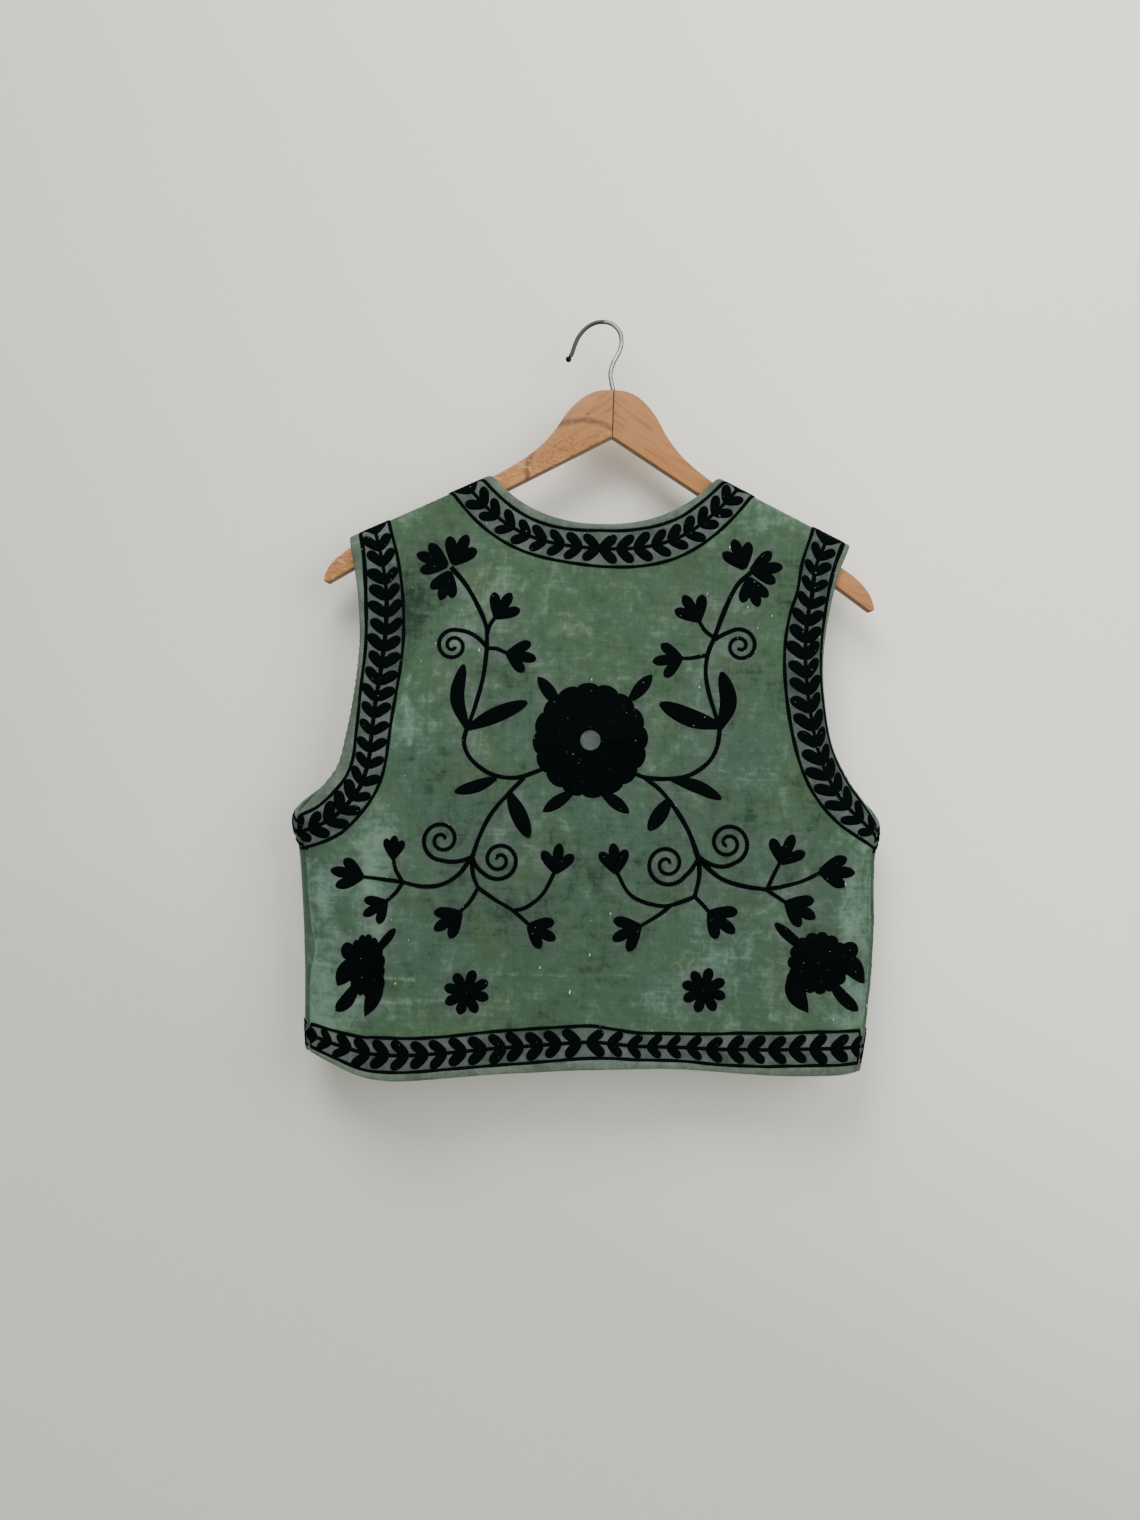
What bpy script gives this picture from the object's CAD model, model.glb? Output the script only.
"""Dressed model of an embroidered velvet vest that hangs on a wooden clothes hanger.

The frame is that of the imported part, in metres: +Z up, the vest's back faces -Y and
its fronts face +Y.  The cloth is found from two cloth coordinates in millimetres:
`across`, measured round the body, and `up`, measured up the cloth.
"""

import logging
import math
from dataclasses import dataclass
from enum import Enum, IntEnum
from functools import reduce
from typing import Callable, NamedTuple, Sequence

import bpy
import numpy as np
from mathutils import Matrix, Vector
from mathutils.geometry import delaunay_2d_cdt
from mathutils.kdtree import KDTree


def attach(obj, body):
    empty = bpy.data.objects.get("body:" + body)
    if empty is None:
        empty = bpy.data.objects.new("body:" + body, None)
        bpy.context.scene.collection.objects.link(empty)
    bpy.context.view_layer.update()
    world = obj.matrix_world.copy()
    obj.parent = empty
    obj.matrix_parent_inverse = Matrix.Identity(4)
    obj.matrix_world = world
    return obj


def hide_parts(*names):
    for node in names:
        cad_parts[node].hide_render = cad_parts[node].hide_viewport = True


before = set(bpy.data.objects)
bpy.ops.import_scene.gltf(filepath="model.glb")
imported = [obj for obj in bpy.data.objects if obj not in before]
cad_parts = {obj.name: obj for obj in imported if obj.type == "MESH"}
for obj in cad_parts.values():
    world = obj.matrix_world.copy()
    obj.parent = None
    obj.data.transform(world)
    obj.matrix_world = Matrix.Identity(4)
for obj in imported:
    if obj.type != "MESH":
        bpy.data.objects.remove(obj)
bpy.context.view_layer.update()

# A millimetre in metres, and in millimetres: the stretch over which a front's border changes
# at its ends, the length of a chain stitch, and the step along stitched lines and the wire.
MM = 0.001
END_BLEND = 55.0
STITCH = 2.7
FINE = 0.9
Array = np.ndarray
Point = tuple[float, float]
Triple = tuple[float, float, float]
Route = tuple[Point, ...]
Table = tuple[tuple[float, ...], ...]
Material = bpy.types.Material
Piece = bpy.types.Object
Socket = bpy.types.NodeSocket
Value = Socket | float | Sequence[float]
log = logging.getLogger("vest")


class Face(IntEnum):
    """Which half of the flattened tube a point of the cloth lies on."""

    BACK = -1
    FRONT = 1


class Side(IntEnum):
    """Left or right as seen from behind the vest, which is how it hangs."""

    LEFT = -1
    RIGHT = 1


class Edge(Enum):
    """Kinds of edge that a border and a binding follow."""

    NECK = "neck"
    ARMHOLE = "armhole"
    HEM = "hem"


class Slot(str, Enum):
    """Material slots of the record that the pieces take their finish from."""

    VELVET = "velvet"
    BINDING = "velvet_binding"
    THREAD = "embroidery_thread"
    WOOD = "hanger_wood"
    STEEL = "hook_steel"


class Fold(NamedTuple):
    """Soft ridge (rise > 0) or trough (rise < 0) between two points of the cloth."""

    top_across: float
    top_up: float
    foot_across: float
    foot_up: float
    width: float
    rise: float


class Crease(NamedTuple):
    """Narrow crease along a route of cloth points."""

    route: Route
    width: float
    rise: float


class NapPatch(NamedTuple):
    """Stretch of pile that is brushed lighter (tone > 0) or darker (tone < 0)."""

    across: float
    up: float
    wide: float
    tall: float
    tone: float
    tilt: float = 0.0


# Edges of the back: cloth coordinate up, distance from X = 0 and degrees round the side.
EDGES: dict[Side, Table] = {
    Side.LEFT: (
        (-640, 208.5, 62), (-596, 211.4, 62), (-556, 214, 62), (-530, 214, 58), (-511, 211, 49),
        (-494, 214.6, 55), (-470, 217.8, 57), (-434, 222.5, 60), (-406, 229, 62), (-386, 214, 62),
        (-366, 200, 60), (-340, 193.5, 57), (-304, 188, 52), (-266, 185.5, 46), (-232, 188, 36),
        (-204, 192.5, 24), (-178, 198, 12), (-150, 201, 6),
    ),
    Side.RIGHT: (
        (-640, 221, 62), (-596, 225, 62), (-540, 230.5, 62), (-489, 232.5, 62), (-424, 231, 62),
        (-397, 233.5, 62), (-382, 226, 64), (-362, 211, 69), (-336, 197.5, 74), (-305, 190.5, 74),
        (-268, 187.2, 68), (-232, 190, 54), (-196, 197, 34), (-170, 206, 12), (-150, 208.5, 6),
    ),
}

# Depth of the flattened tube: cloth coordinate up, half depth and middle on the Y axis.
SECTIONS: Table = (
    (-640, 25, -6), (-550, 23.6, -5), (-480, 24, -5), (-410, 23, -5), (-350, 20.5, -4), (-290, 17, -3),
    (-230, 13, -1), (-170, 10.4, 0), (-90, 9, 0),
)

FOLDS = {
    Face.BACK: (
        Fold(-150, -225, -138, -345, 26, 2.6), Fold(-96, -215, -70, -330, 24, -2.4),
        Fold(62, -210, 96, -350, 26, -2.6), Fold(142, -230, 136, -330, 24, 2.2),
        Fold(0, -175, 4, -235, 40, 2), Fold(-128, -470, -150, -620, 34, 4.6),
        Fold(-62, -440, -66, -620, 30, -3.6), Fold(14, -400, 22, -620, 34, 3.4),
        Fold(92, -450, 88, -620, 30, -3), Fold(158, -430, 166, -620, 30, 3.6),
        Fold(196, -420, 120, -500, 20, -2.2), Fold(-190, -425, -120, -490, 20, -2),
    ),
    Face.FRONT: (
        Fold(-120, -240, -104, -620, 34, 3.6), Fold(-166, -400, -160, -620, 26, -3),
        Fold(-56, -380, -46, -620, 26, -3.2), Fold(118, -250, 108, -620, 32, 3.2),
        Fold(168, -410, 172, -620, 26, -2.8), Fold(58, -360, 46, -620, 28, -3.4),
    ),
}

CREASES = {
    Face.BACK: (
        Crease(((-214, -522), (-188, -523), (-166, -530), (-130, -530.5)), 2.4, 0.7),
        Crease(((-196, -552), (-160, -549.5), (-106, -547)), 2.6, 0.6),
        Crease(((-52, -524.5), (-8, -523), (40, -521)), 2.6, 0.45),
        Crease(((-40, -540), (6, -533), (58, -536)), 5, 0.5),
        Crease(((-133, -262), (-146, -300), (-141, -345)), 6, 0.9),
        Crease(((-78, -292), (-60, -305), (-64, -346)), 5, 0.7),
        Crease(((-18, -246), (-26, -270), (-22, -296)), 5, -0.5),
        Crease(((60, -250), (84, -284), (88, -318)), 6, 0.6),
        Crease(((-184, -440), (-160, -470), (-158, -512)), 7, 0.9),
        Crease(((-206, -470), (-184, -505), (-178, -560)), 7, 0.9),
        Crease(((184, -424), (168, -446), (140, -470)), 6, 0.7),
        Crease(((212, -432), (206, -462), (214, -500)), 6, 0.8),
        Crease(((20, -372), (30, -420), (26, -470)), 7, 0.6),
        Crease(((-14, -380), (-4, -424), (-10, -462)), 6, -0.5),
    ),
    Face.FRONT: (
        Crease(((-196, -430), (-160, -470), (-150, -520)), 7, 0.9),
        Crease(((-140, -250), (-112, -300), (-96, -360)), 7, 0.8),
        Crease(((-90, -520), (-60, -528), (-34, -526)), 3, 0.6),
        Crease(((202, -424), (176, -462), (160, -516)), 7, 0.9),
        Crease(((140, -248), (118, -306), (100, -352)), 7, 0.8),
        Crease(((176, -545), (120, -541), (60, -546)), 3, 0.6),
    ),
}

NAP = {
    Face.BACK: (
        NapPatch(-145, -243, 18, 46, -0.74), NapPatch(-142, -322, 16, 34, 0.18),
        NapPatch(-108, -262, 30, 17, 0.3), NapPatch(-116, -352, 12, 16, -0.26),
        NapPatch(-164, -424, 15, 40, 0.7), NapPatch(-200, -456, 28, 24, 0.46),
        NapPatch(-190, -404, 14, 11, -0.5), NapPatch(-188, -484, 12, 12, -0.34),
        NapPatch(-162, -494, 14, 26, 0.66), NapPatch(-200, -530, 30, 60, 0.58),
        NapPatch(-208, -568, 26, 24, 0.55), NapPatch(-38, -488, 100, 72, -0.24),
        NapPatch(107, -488, 16, 22, 0.34), NapPatch(61, -530, 20, 13, 0.34),
        NapPatch(220, -505, 15, 85, 0.44), NapPatch(167, -276, 22, 62, -0.3),
        NapPatch(-42, -226, 68, 40, 0.18), NapPatch(-140, -162, 28, 14, 0.3),
        NapPatch(134, -149, 30, 16, 0.36), NapPatch(101, -317, 18, 40, 0.18),
        NapPatch(182, -420, 26, 40, -0.18),
    ),
    Face.FRONT: (
        NapPatch(-120, -300, 24, 70, 0.32), NapPatch(-150, -470, 22, 60, 0.34, -12),
        NapPatch(-60, -480, 24, 60, -0.3), NapPatch(120, -310, 22, 60, -0.35),
        NapPatch(96, -450, 20, 70, 0.34, 8), NapPatch(180, -500, 22, 60, 0.28),
    ),
}

# Hems: cloth coordinates across and up.
HEMS: dict[Face, Table] = {
    Face.BACK: (
        (-250, -588.5), (-208, -594), (-191, -599.6), (-170, -608.2), (-142, -611), (-100, -608),
        (-44, -602.3), (12, -596.6), (70, -594.5), (145, -595.5), (205, -594.5), (227, -593),
        (280, -591),
    ),
    Face.FRONT: (
        (-290, -592), (-242, -593), (-170, -598), (-90, -601), (0, -603), (90, -600.5), (170, -597),
        (256, -593), (300, -592),
    ),
}

# Outer and inner lines of the borders: cloth coordinate, and distance inward from the edge.
# It is the coordinate up at the armholes, which are listed by their side, and across elsewhere.
LINES: dict[Edge | Side, tuple[Table, Table]] = {
    Edge.NECK: (
        (
            (-95, 9), (-72, 7.9), (-50, 8.3), (-27, 7.3), (-6, 5.9), (6, 5.6), (32, 6.3), (63, 7.5),
            (78, 6.3), (100, 6.3),
        ),
        (
            (-95, 35.2), (-50, 34.9), (-20, 33.4), (6, 34.6), (46, 36.4), (63, 35.6), (81, 32.8),
            (100, 31),
        ),
    ),
    Side.LEFT: (
        (
            (-406, 4.4), (-397, 7.8), (-388, 11.8), (-375, 13.6), (-352, 12.8), (-338, 10.5),
            (-322, 8.2), (-305, 6.4), (-280, 5.7), (-230, 5.7), (-190, 7.2), (-160, 7.6),
        ),
        (
            (-406, 26.6), (-396, 34.6), (-388, 38.4), (-370, 37.6), (-348, 35.1), (-317, 31.4),
            (-286, 30.9), (-246, 31.3), (-192, 32), (-160, 32.2),
        ),
    ),
    Side.RIGHT: (
        ((-397, 4), (-300, 3.8), (-160, 4.6)),
        (
            (-397, 20.6), (-384, 26.4), (-372, 30), (-356, 33.6), (-330, 34.2), (-303, 34.3),
            (-261, 32.1), (-232, 28.6), (-215, 25.4), (-193, 27.8), (-171, 31.2),
        ),
    ),
    Edge.HEM: (
        (
            (-215, 4.4), (-167, 6.1), (-145, 7.1), (-67, 7.3), (-26, 8.2), (12, 9.5), (31, 9), (50, 7.5),
            (91, 6.6), (110, 5.9), (151, 7.1), (170, 8.3), (208, 8.5), (230, 7.5),
        ),
        (
            (-212, 22), (-187, 26.4), (-174, 31.2), (-148, 34), (-105, 33.1), (-64, 34), (-5, 34.9),
            (12, 34.9), (31, 31.8), (50, 28.7), (88, 28.5), (108, 29.7), (129, 32), (170, 34.2),
            (208, 35), (230, 33.2),
        ),
    ),
}

# Panels: name, face and the sides that they reach.
PANELS: tuple[tuple[str, Face, tuple[Side, ...]], ...] = (
    ("back", Face.BACK, (Side.LEFT, Side.RIGHT)),
    ("front_left", Face.FRONT, (Side.LEFT,)),
    ("front_right", Face.FRONT, (Side.RIGHT,)),
)


def ease(value: Array) -> Array:
    """Ease values from 0 to 1 with flat ends."""
    value = np.clip(value, 0.0, 1.0)
    return value * value * (3.0 - 2.0 * value)


def unit(vectors: Array) -> Array:
    """Vectors scaled to a length of one."""
    return vectors / np.maximum(np.linalg.norm(vectors, axis=-1, keepdims=True), 1e-9)


def table_curve(rows: Table, column: int, where: Array) -> Array:
    """Read one column of a table on a smooth curve.

    Args:
        rows: rows in rising order of their first column.
        column: the column to read.
        where: places along the first column.

    Returns:
        The values at those places.
    """
    places, values = np.array(rows, dtype=float).T[[0, column]]
    slopes = np.gradient(values) / np.gradient(places)
    where = np.clip(np.asarray(where, dtype=float), places[0], places[-1])
    index = np.clip(np.searchsorted(places, where, side="right") - 1, 0, len(rows) - 2)
    span = places[index + 1] - places[index]
    part = (where - places[index]) / span
    square, cube = part ** 2, part ** 3
    return ((2 * cube - 3 * square + 1) * values[index]
            + (cube - 2 * square + part) * slopes[index] * span
            + (3 * square - 2 * cube) * values[index + 1]
            + (cube - square) * slopes[index + 1] * span)


def smooth_route(points: Sequence[Sequence[float]], step: float) -> Array:
    """Walk a smooth curve through points.

    Args:
        points: the points that the curve passes through.
        step: greatest distance between the walked points.

    Returns:
        Evenly spaced points of the curve.
    """
    knots = np.asarray(points, dtype=float)
    if len(knots) == 2:
        return walk(knots, step)
    before = np.vstack([2 * knots[0] - knots[1], knots[:-1]])
    after = np.vstack([knots[1:], 2 * knots[-1] - knots[-2]])
    tangents = (after - before) / 2.0
    parts = np.linspace(0.0, 1.0, 24, endpoint=False)[:, None]
    square, cube = parts ** 2, parts ** 3
    pieces = [(2 * cube - 3 * square + 1) * knots[i] + (cube - 2 * square + parts) * tangents[i]
              + (3 * square - 2 * cube) * knots[i + 1] + (cube - square) * tangents[i + 1]
              for i in range(len(knots) - 1)]
    return walk(np.vstack(pieces + [knots[-1:]]), step)


def along(points: Array) -> Array:
    """Distance walked along a polyline at each of its points."""
    return np.r_[0.0, np.cumsum(np.linalg.norm(np.diff(points, axis=0), axis=1))]


def walk(points: Array, step: float) -> Array:
    """Evenly spaced points along a polyline.

    Args:
        points: corners of the polyline, one a row.
        step: greatest distance between the walked points.

    Returns:
        The walked points, one a row.
    """
    run = along(points)
    wanted = np.linspace(0.0, run[-1], max(1, math.ceil(run[-1] / step)) + 1)
    return np.column_stack([np.interp(wanted, run, points[:, axis]) for axis in range(2)])


def square_to(points: Array) -> Array:
    """Directions square to a polyline, on its left, at each of its points."""
    runs = unit(np.gradient(points, axis=0))
    return np.column_stack([-runs[:, 1], runs[:, 0]])


def route_distance(points: Array, route: Sequence[Sequence[float]]) -> Array:
    """Distance from points to a route of straight stretches.

    Args:
        points: cloth points, one a row.
        route: corners of the route.

    Returns:
        The distances.
    """
    knots = np.asarray(route, dtype=float)
    best = np.full(len(points), np.inf)
    for start, stop in zip(knots[:-1], knots[1:]):
        way = stop - start
        part = np.clip((points - start) @ way / (way @ way), 0.0, 1.0)
        near = start + part[:, None] * way
        best = np.minimum(best, np.linalg.norm(points - near, axis=1))
    return best


def nearest(points: Array, others: Array) -> Array:
    """Distance from each point to the nearest of some others."""
    parts = np.array_split(points, len(points) // 2000 + 1)
    return np.concatenate([np.linalg.norm(part[:, None] - others, axis=2).min(axis=1) for part in parts])


def ridge(points: Array, route: Sequence[Sequence[float]], width: float) -> Array:
    """Height at points of a soft ridge of height 1 along a route."""
    share = route_distance(points, route) / width
    return np.exp(-share * share)


@dataclass(frozen=True)
class EdgeRun:
    """Stretch of a panel's edge in the cloth, with its inward directions."""

    face: Face
    points: Array
    inward: Array

    def inset(self, distance: float | Array) -> Array:
        """Cloth points of the edge, moved inward by a distance."""
        return self.points + self.inward * np.reshape(distance, (-1, 1))

    def reversed(self) -> "EdgeRun":
        """The same stretch, walked the other way."""
        return EdgeRun(self.face, self.points[::-1], self.inward[::-1])


@dataclass(frozen=True)
class ClothForm:
    """Form of the hanging cloth: a flattened tube that rolls over the hanger."""

    cloth: float = 2.0
    step: float = 2.4
    seam_gap: float = 0.3
    shoulder_roll: float = 9.0
    side_roll: Point = (42.0, 34.0)
    fold_fade: float = 55.0
    armhole_rise: float = 58.0
    armhole_turn: float = math.radians(30.0)
    neck_middle: float = 6.0
    neck_half: float = 94.0
    neck_point: float = -124.2
    neck_tilt: float = 2.4
    neck_drop: float = 38.5
    neck_power: float = 2.3
    slopes: Point = (0.49, 0.47)
    v_bottom: float = -318.0
    v_power: float = 1.4
    gap_half: float = 7.0
    gap_spread: float = 9.0
    underarms: Point = (-406.0, -397.0)
    turn_blend: float = 45.0
    seam_fade: float = 12.0
    probe: float = 0.4

    def half_depth(self, up: Array) -> Array:
        """Half the depth of the tube at heights."""
        return table_curve(SECTIONS, 1, up)

    def roll(self, side: Side) -> float:
        """Half width of the ellipse that a side turns round."""
        return self.side_roll[side > 0]

    def underarm(self, side: Side) -> float:
        """Height of the foot of an armhole."""
        return self.underarms[side > 0]

    def flat_limit(self, side: Side, up: Array) -> Array:
        """Distance from X = 0 at which the flat starts to turn round a side."""
        turn = np.radians(table_curve(EDGES[side], 2, up))
        return table_curve(EDGES[side], 1, up) - self.roll(side) * np.sin(turn)

    def roll_radius(self, side: Side, up: Array) -> Array:
        """Mean radius of a side's ellipse."""
        return np.hypot(self.roll(side), self.half_depth(up)) / math.sqrt(2.0)

    def edge_turn(self, face: Face, side: Side, up: Array) -> Array:
        """How far round a side a panel's edge lies at heights.

        Args:
            face: back or front.
            side: left or right.
            up: cloth coordinates up.

        Returns:
            The angles in radians, from 0 at the back to pi at the front.
        """
        back = np.radians(table_curve(EDGES[side], 2, up))
        if face == Face.BACK:
            return back
        foot = np.minimum(up, self.underarm(side))
        seam = math.pi - np.radians(table_curve(EDGES[side], 2, foot))
        rise = np.maximum(0.0, up - self.underarm(side))
        scooped = np.minimum(back, self.armhole_turn)
        return seam + (scooped - seam) * ease((rise / self.armhole_rise) ** 0.7)

    def edge_across(self, face: Face, side: Side, up: Array) -> Array:
        """Distance across, along the cloth, of a panel's side or armhole edge."""
        return (self.flat_limit(side, up)
                + self.roll_radius(side, up) * self.edge_turn(face, side, up))

    def shoulder_up(self, place: Array) -> Array:
        """Height of the shoulder seam.

        Args:
            place: places on the X axis.

        Returns:
            The heights above them.
        """
        side = np.where(place < self.neck_middle, -1.0, 1.0)
        slope = np.where(side < 0.0, *self.slopes)
        beyond = np.abs(place - self.neck_middle) - self.neck_half
        return self.neck_point + side * self.neck_tilt - slope * beyond

    def shoulder_cloth_up(self, place: Array) -> Array:
        """Cloth coordinate up of the shoulder seam, which the roll makes higher."""
        return self.shoulder_up(place) + (math.pi / 2.0 - 1.0) * self.shoulder_roll

    def by_side(self, reader: Callable[[Side, Array], Array], across: Array, up: Array) -> Array:
        """Read a value of each side and keep the one for the side a point lies on."""
        return np.where(across < 0.0, reader(Side.LEFT, up), reader(Side.RIGHT, up))

    def seam_distance(self, face: Face, across: Array, up: Array) -> Array:
        """Distance along the cloth from points to a panel's side or armhole edge."""
        edge = self.by_side(lambda side, rows: self.edge_across(face, side, rows), across, up)
        return edge - np.abs(across)

    def fold_rise(self, face: Face, across: Array, up: Array) -> Array:
        """Height of the folds above the plain form."""
        points = np.column_stack([across, up])
        return sum(fold.rise * ridge(points, (fold[:2], fold[2:4]), fold.width) for fold in FOLDS[face])

    def relief(self, face: Face, across: Array, up: Array) -> Array:
        """Creases, slack and seam ridges that stand on the folded form.

        Args:
            face: back or front.
            across: cloth coordinates across.
            up: cloth coordinates up.

        Returns:
            The heights in millimetres.
        """
        points = np.column_stack([across, up])
        total = 0.30 * np.sin(across / 13.0 + 1.3 * np.sin(up / 31.0)) * np.sin(up / 19.0 + 0.8)
        total += 0.16 * np.sin(across / 5.3 + up / 9.1 + 1.7 * np.sin(across / 23.0))
        for crease in CREASES[face]:
            total += crease.rise * ridge(points, crease.route, crease.width)
        distance = self.seam_distance(face, across, up)
        below = self.shoulder_cloth_up(across) - up
        fade = ease(distance / self.seam_fade) * ease(below / self.seam_fade)
        joined = self.by_side(lambda side, rows: rows <= self.underarm(side) + 4.0, across, up)
        wave = 1.0 + 0.35 * np.sin(up / 7.0) + 0.25 * np.sin(up / 2.9 + 1.0)
        seam = 0.75 * wave * np.exp(-((distance - 3.4) / 2.0) ** 2)
        dip = -0.7 * np.exp(-(distance / 1.3) ** 2)
        return total * fade + np.where(joined, seam + dip, 0.0)

    def surface(self, face: Face, across: Array, up: Array) -> Array:
        """Points on the outer face of the folded form.

        Args:
            face: back or front.
            across: cloth coordinates across.
            up: cloth coordinates up.

        Returns:
            The points in millimetres, one a row.
        """
        side = np.where(across < 0.0, -1.0, 1.0)
        reach = np.abs(across)
        limit = self.by_side(self.flat_limit, across, up)
        radius = self.by_side(self.roll_radius, across, up)
        roll = np.where(across < 0.0, *self.side_roll)
        turn = np.maximum(0.0, (reach - limit) / radius)
        place = side * (np.minimum(reach, limit) + roll * np.sin(turn))
        below = self.shoulder_cloth_up(place) - up
        angle = np.minimum(below / self.shoulder_roll, math.pi / 2.0)
        rolled = self.shoulder_up(place) - self.shoulder_roll * (1.0 - np.cos(angle))
        height = np.where(angle < math.pi / 2.0, rolled, up)
        fade = ease(self.seam_distance(face, across, up) / self.fold_fade)
        depth = self.half_depth(up) * np.cos(turn) + self.fold_rise(face, across, up) * fade
        middle = table_curve(SECTIONS, 2, up)
        return np.column_stack([place, (middle + face * depth) * np.sin(angle), height])

    def place(self, face: Face, points: Array, out: float | Array = 0.0) -> Array:
        """Put cloth points on the garment.

        Args:
            face: back or front.
            points: cloth points, one a row.
            out: distance outward from the cloth's outer face, in millimetres.

        Returns:
            Points in the frame, in metres.
        """
        across, up = points.T
        aside, rising = (self.surface(face, across + wide, up + tall)
                         - self.surface(face, across - wide, up - tall)
                         for wide, tall in ((self.probe, 0.0), (0.0, self.probe)))
        lift = np.reshape(out, (-1, 1)) + self.relief(face, across, up)[:, None]
        normal = unit(np.cross(aside, rising) * -face)
        return (self.surface(face, across, up) + normal * lift) * MM

    def back_neck_up(self, place: Array) -> Array:
        """Cloth coordinate up of the back neck edge.

        Args:
            place: places on the X axis.

        Returns:
            The coordinates above them.
        """
        share = np.minimum(1.0, np.abs(place - self.neck_middle) / self.neck_half)
        tilt = self.neck_tilt * (place - self.neck_middle) / self.neck_half
        lift = (math.pi / 2.0 - 1.0) * self.shoulder_roll * share ** 8
        return self.neck_point + tilt + lift - self.neck_drop * (1.0 - share ** self.neck_power)

    def shoulder_way(self, side: Side) -> Array:
        """Direction along a shoulder seam, away from the neck."""
        return unit(np.array([side, -self.slopes[side > 0]]))

    def seam_way(self, face: Face, side: Side) -> Array:
        """Direction along a side seam, down from the armhole."""
        edge = self.edge_across(face, side, self.underarm(side) - np.array([0.0, 6.0]))
        return unit(np.array([side * (edge[1] - edge[0]), -6.0]))

    def edge_run(self, face: Face, points: Array, turn: int, first: Array, last: Array) -> EdgeRun:
        """Walk a stretch of edge whose inward directions ease into those of its ends.

        Args:
            face: back or front.
            points: cloth points along the edge.
            turn: 1 where inward is on the left of the walk, and -1 on its right.
            first: direction at the first end.
            last: direction at the last end.

        Returns:
            The stretch of edge.
        """
        points = walk(points, self.step)
        inward = square_to(points) * turn
        run = along(points)
        for way, gone in ((first, run), (last, run[-1] - run)):
            share = ease(gone / min(self.turn_blend, run[-1] / 2.0))[:, None]
            inward = way * (1.0 - share) + inward * share
        return EdgeRun(face, points, unit(inward))

    def neck_run(self, face: Face, side: Side) -> EdgeRun:
        """Neck edge of half a panel, from its shoulder to its middle or front hem.

        Args:
            face: back or front.
            side: left or right.

        Returns:
            The stretch, from the shoulder on.
        """
        first = self.shoulder_way(side)
        if face == Face.BACK:
            share = 1.0 - np.linspace(0.0, 1.0, 160) ** 1.4
            place = self.neck_middle + side * share * self.neck_half
            points = np.column_stack([place, self.back_neck_up(place)])
            return self.edge_run(face, points, side, first, np.array([0.0, -1.0]))
        top = self.neck_middle + side * self.neck_half
        high = float(self.shoulder_cloth_up(np.array(top)))
        up = np.linspace(high, self.v_bottom, 200)
        part = (high - up) / (high - self.v_bottom)
        inward = (1.0 - (1.0 - part) ** self.v_power) * (self.neck_half - self.gap_half)
        slope = np.column_stack([top - side * inward, up])
        part = np.linspace(0.0, 1.0, 120)[1:]
        place = self.neck_middle + side * (self.gap_half + self.gap_spread * ease(part))
        low = table_curve(HEMS[face], 1, place)
        edge = np.column_stack([place, self.v_bottom + (low - self.v_bottom) * part])
        return self.edge_run(face, np.vstack([slope, edge]), side, first, np.array([side, 0.0]))

    def armhole_run(self, face: Face, side: Side) -> EdgeRun:
        """Armhole edge of a panel, from its shoulder down to its underarm.

        Args:
            face: back or front.
            side: left or right.

        Returns:
            The stretch, from the shoulder on.
        """
        tip = float(table_curve(EDGES[side], 1, np.array(-175.0)))
        top = float(self.shoulder_cloth_up(np.array(side * tip)))
        for _ in range(6):
            across = side * self.edge_across(face, side, np.array([top]))
            tip = abs(self.surface(face, across, np.array([top]))[0, 0])
            top = float(self.shoulder_cloth_up(np.array(side * tip)))
        up = np.linspace(top, self.underarm(side), 240)
        points = np.column_stack([side * self.edge_across(face, side, up), up])
        return self.edge_run(face, points, -side, -self.shoulder_way(side), self.seam_way(face, side))

    def hem_corner(self, face: Face, side: Side) -> float:
        """Cloth coordinate across at which a hem meets its side seam."""
        up = table_curve(HEMS[face], 1, np.array(side * 225.0))
        return side * float(self.edge_across(face, side, up))

    def hem_run(self, face: Face, start: float, stop: float) -> EdgeRun:
        """Hem of a panel between two places across.

        Args:
            face: back or front.
            start: cloth coordinate across of its first end.
            stop: cloth coordinate across of its last end.

        Returns:
            The stretch of hem.
        """
        across = np.linspace(start, stop, 400)
        points = np.column_stack([across, table_curve(HEMS[face], 1, across)])
        up = np.array([0.0, 1.0])
        return self.edge_run(face, points, 1 if stop > start else -1, up, up)

    def run(self, edge: Edge, face: Face, side: Side, start: float) -> EdgeRun:
        """Edge of half a face.

        Args:
            edge: the kind of edge.
            face: back or front.
            side: left or right.
            start: cloth coordinate across at which a hem starts.

        Returns:
            The stretch, which ends at its seam in the case of a hem.
        """
        if edge == Edge.HEM:
            return self.hem_run(face, start, self.hem_corner(face, side))
        return (self.neck_run if edge == Edge.NECK else self.armhole_run)(face, side)


def side_of_line(points: Array, line: Array, inward: Array) -> Array:
    """Signed distance from points to a line, positive on its inward side.

    Args:
        points: cloth points, one a row.
        line: points of the line.
        inward: directions on the inward side, one for each point.

    Returns:
        The signed distances.
    """
    picked = np.r_[np.arange(0, len(line) - 1, max(1, len(line) // 60)), len(line) - 1]
    line, inward = line[picked], inward[picked]
    best = np.full(len(points), np.inf)
    signed = np.zeros(len(points))
    for index in range(len(line) - 1):
        way = line[index + 1] - line[index]
        part = np.clip((points - line[index]) @ way / (way @ way), 0.0, 1.0)
        off = points - (line[index] + part[:, None] * way)
        distance = np.linalg.norm(off, axis=1)
        side = np.sign(off @ (inward[index] + inward[index + 1]))
        nearer = distance < best
        best = np.where(nearer, distance, best)
        signed = np.where(nearer, distance * side, signed)
    return signed


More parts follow.
